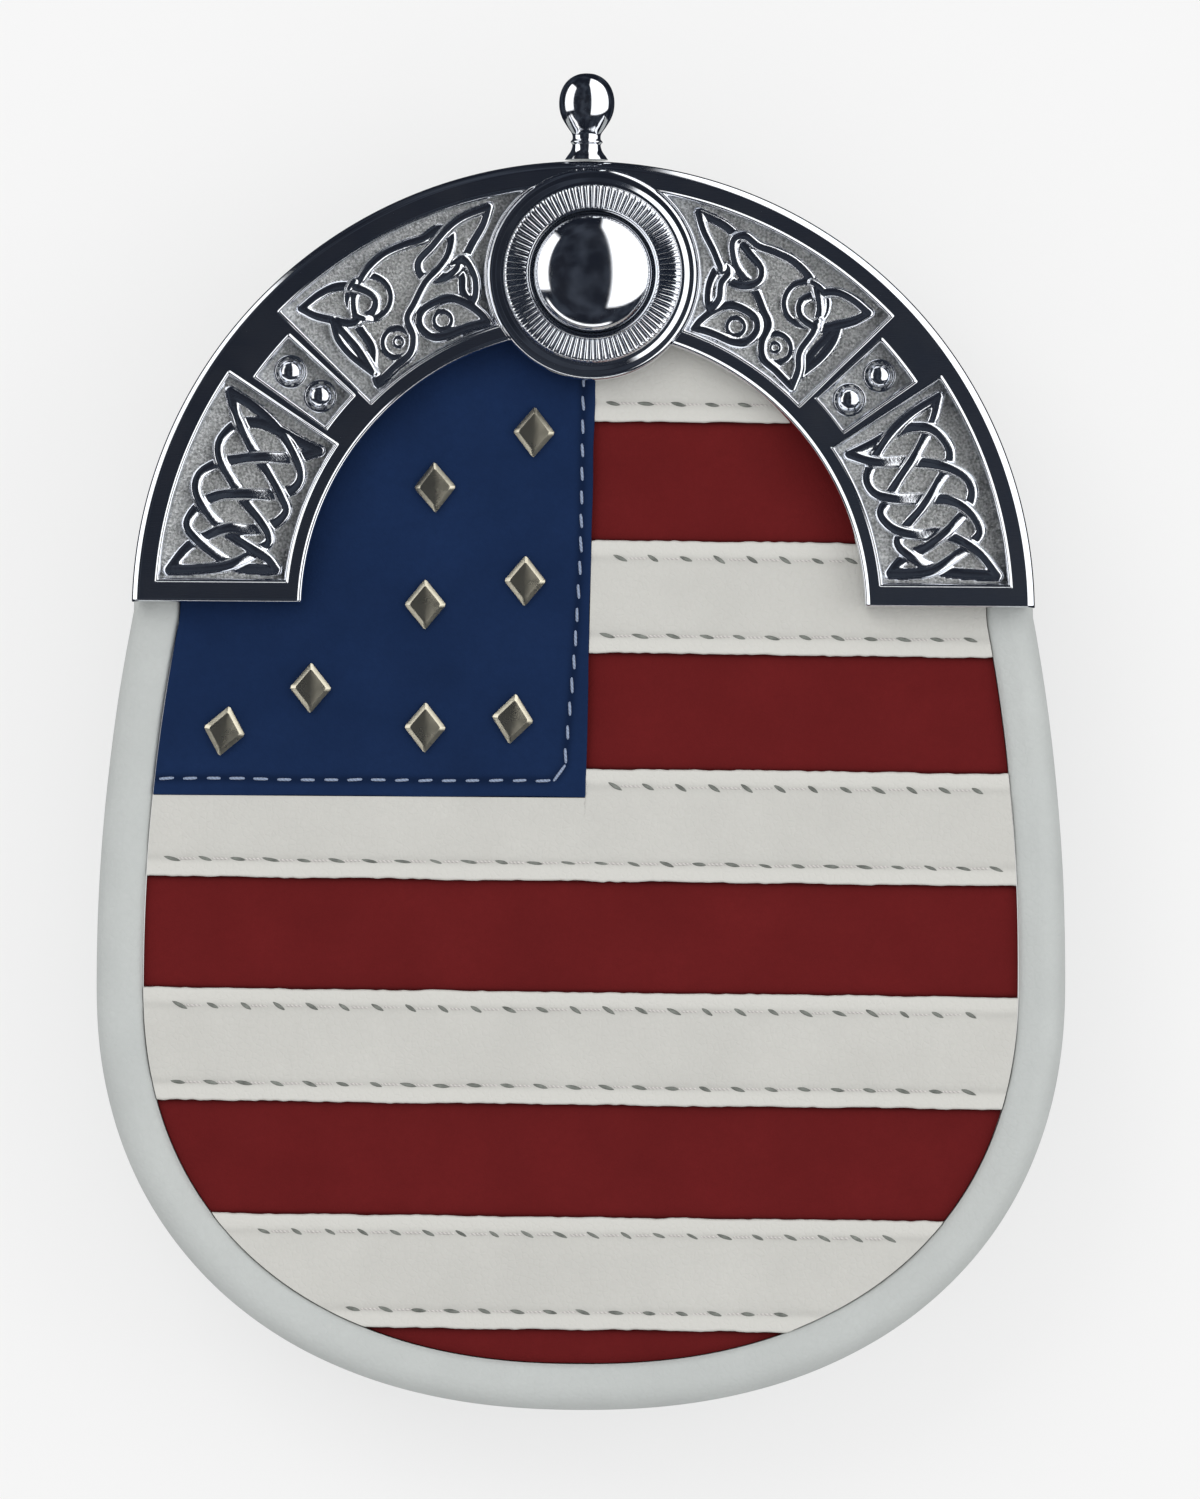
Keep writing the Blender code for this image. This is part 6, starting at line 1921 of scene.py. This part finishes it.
class SPORRAN_OT_face(bpy.types.Operator):
    """Lay the red base and sew the white stripes to it"""

    bl_idname = "sporran.face"
    bl_label = "Red Base and Stripes"

    def execute(self, context):
        leather, thread = context.scene.sporran_leather, context.scene.sporran_thread
        make_red_base()
        for number in range(len(STRIPE_NODES)):
            make_stripe(number, leather, thread)
        make_stripe_seams(leather, thread)
        return {"FINISHED"}


class SPORRAN_OT_canton(bpy.types.Operator):
    """Sew the blue canton down"""

    bl_idname = "sporran.canton"
    bl_label = "Canton"

    def execute(self, context):
        make_canton(context.scene.sporran_leather)
        make_canton_stitches(context.scene.sporran_leather, context.scene.sporran_thread)
        return {"FINISHED"}


class SPORRAN_OT_studs(bpy.types.Operator):
    """Press the diamond studs into the canton"""

    bl_idname = "sporran.studs"
    bl_label = "Diamond Studs"

    def execute(self, context):
        make_studs(context.scene.sporran_metal)
        return {"FINISHED"}


class SPORRAN_OT_cantle(bpy.types.Operator):
    """Cast the cantle: its frame, its sunk panels with their interlace, and the boss's seat"""

    bl_idname = "sporran.cantle"
    bl_label = "Cantle"

    def execute(self, context):
        settings = context.scene.sporran_metal
        make_cantle_frame(settings)
        make_cantle_panels(settings)
        make_boss_seat()
        return {"FINISHED"}


class SPORRAN_OT_boss(bpy.types.Operator):
    """Set the reeded ring and its dome, and the finial"""

    bl_idname = "sporran.boss"
    bl_label = "Boss and Finial"

    def execute(self, context):
        make_boss(context.scene.sporran_metal)
        make_finial()
        return {"FINISHED"}


class SPORRAN_OT_back(bpy.types.Operator):
    """Close the back: its leather, the mouth's flap and snap, and the strap loops"""

    bl_idname = "sporran.back"
    bl_label = "Back"

    def execute(self, context):
        make_back_panel()
        make_flap(context.scene.sporran_leather)
        make_flap_stitches(context.scene.sporran_thread)
        make_snap()
        make_loops()
        return {"FINISHED"}


OPERATORS = [
    SPORRAN_OT_stage,
    SPORRAN_OT_rim,
    SPORRAN_OT_face,
    SPORRAN_OT_canton,
    SPORRAN_OT_studs,
    SPORRAN_OT_cantle,
    SPORRAN_OT_boss,
    SPORRAN_OT_back,
]
SETTINGS = {
    "sporran_metal": SporranMetal,
    "sporran_leather": SporranLeather,
    "sporran_thread": SporranThread,
    "sporran_stage": SporranStage,
}


class SPORRAN_PT_sidebar(bpy.types.Panel):
    """Lists the sporran's pieces and their sizes"""

    bl_label = "Sporran"
    bl_idname = "SPORRAN_PT_sidebar"
    bl_space_type = "VIEW_3D"
    bl_region_type = "UI"
    bl_category = "Sporran"

    def draw(self, context):
        for operator in OPERATORS:
            self.layout.operator(operator.bl_idname)
        for label in SETTINGS:
            box = self.layout.box()
            group = getattr(context.scene, label)
            for key in group.__annotations__:
                box.prop(group, key)


def register():
    for made in [*SETTINGS.values(), *OPERATORS, SPORRAN_PT_sidebar]:
        bpy.utils.register_class(made)
    for label, group in SETTINGS.items():
        setattr(bpy.types.Scene, label, bpy.props.PointerProperty(type=group))


def unregister():
    for label in SETTINGS:
        delattr(bpy.types.Scene, label)
    for made in [SPORRAN_PT_sidebar, *reversed(OPERATORS), *SETTINGS.values()]:
        bpy.utils.unregister_class(made)


def main():
    register()
    bpy.ops.sporran.stage()
    bpy.ops.sporran.rim()
    bpy.ops.sporran.face()
    bpy.ops.sporran.canton()
    bpy.ops.sporran.studs()
    bpy.ops.sporran.cantle()
    bpy.ops.sporran.boss()
    bpy.ops.sporran.back()


if __name__ == "__main__":
    main()
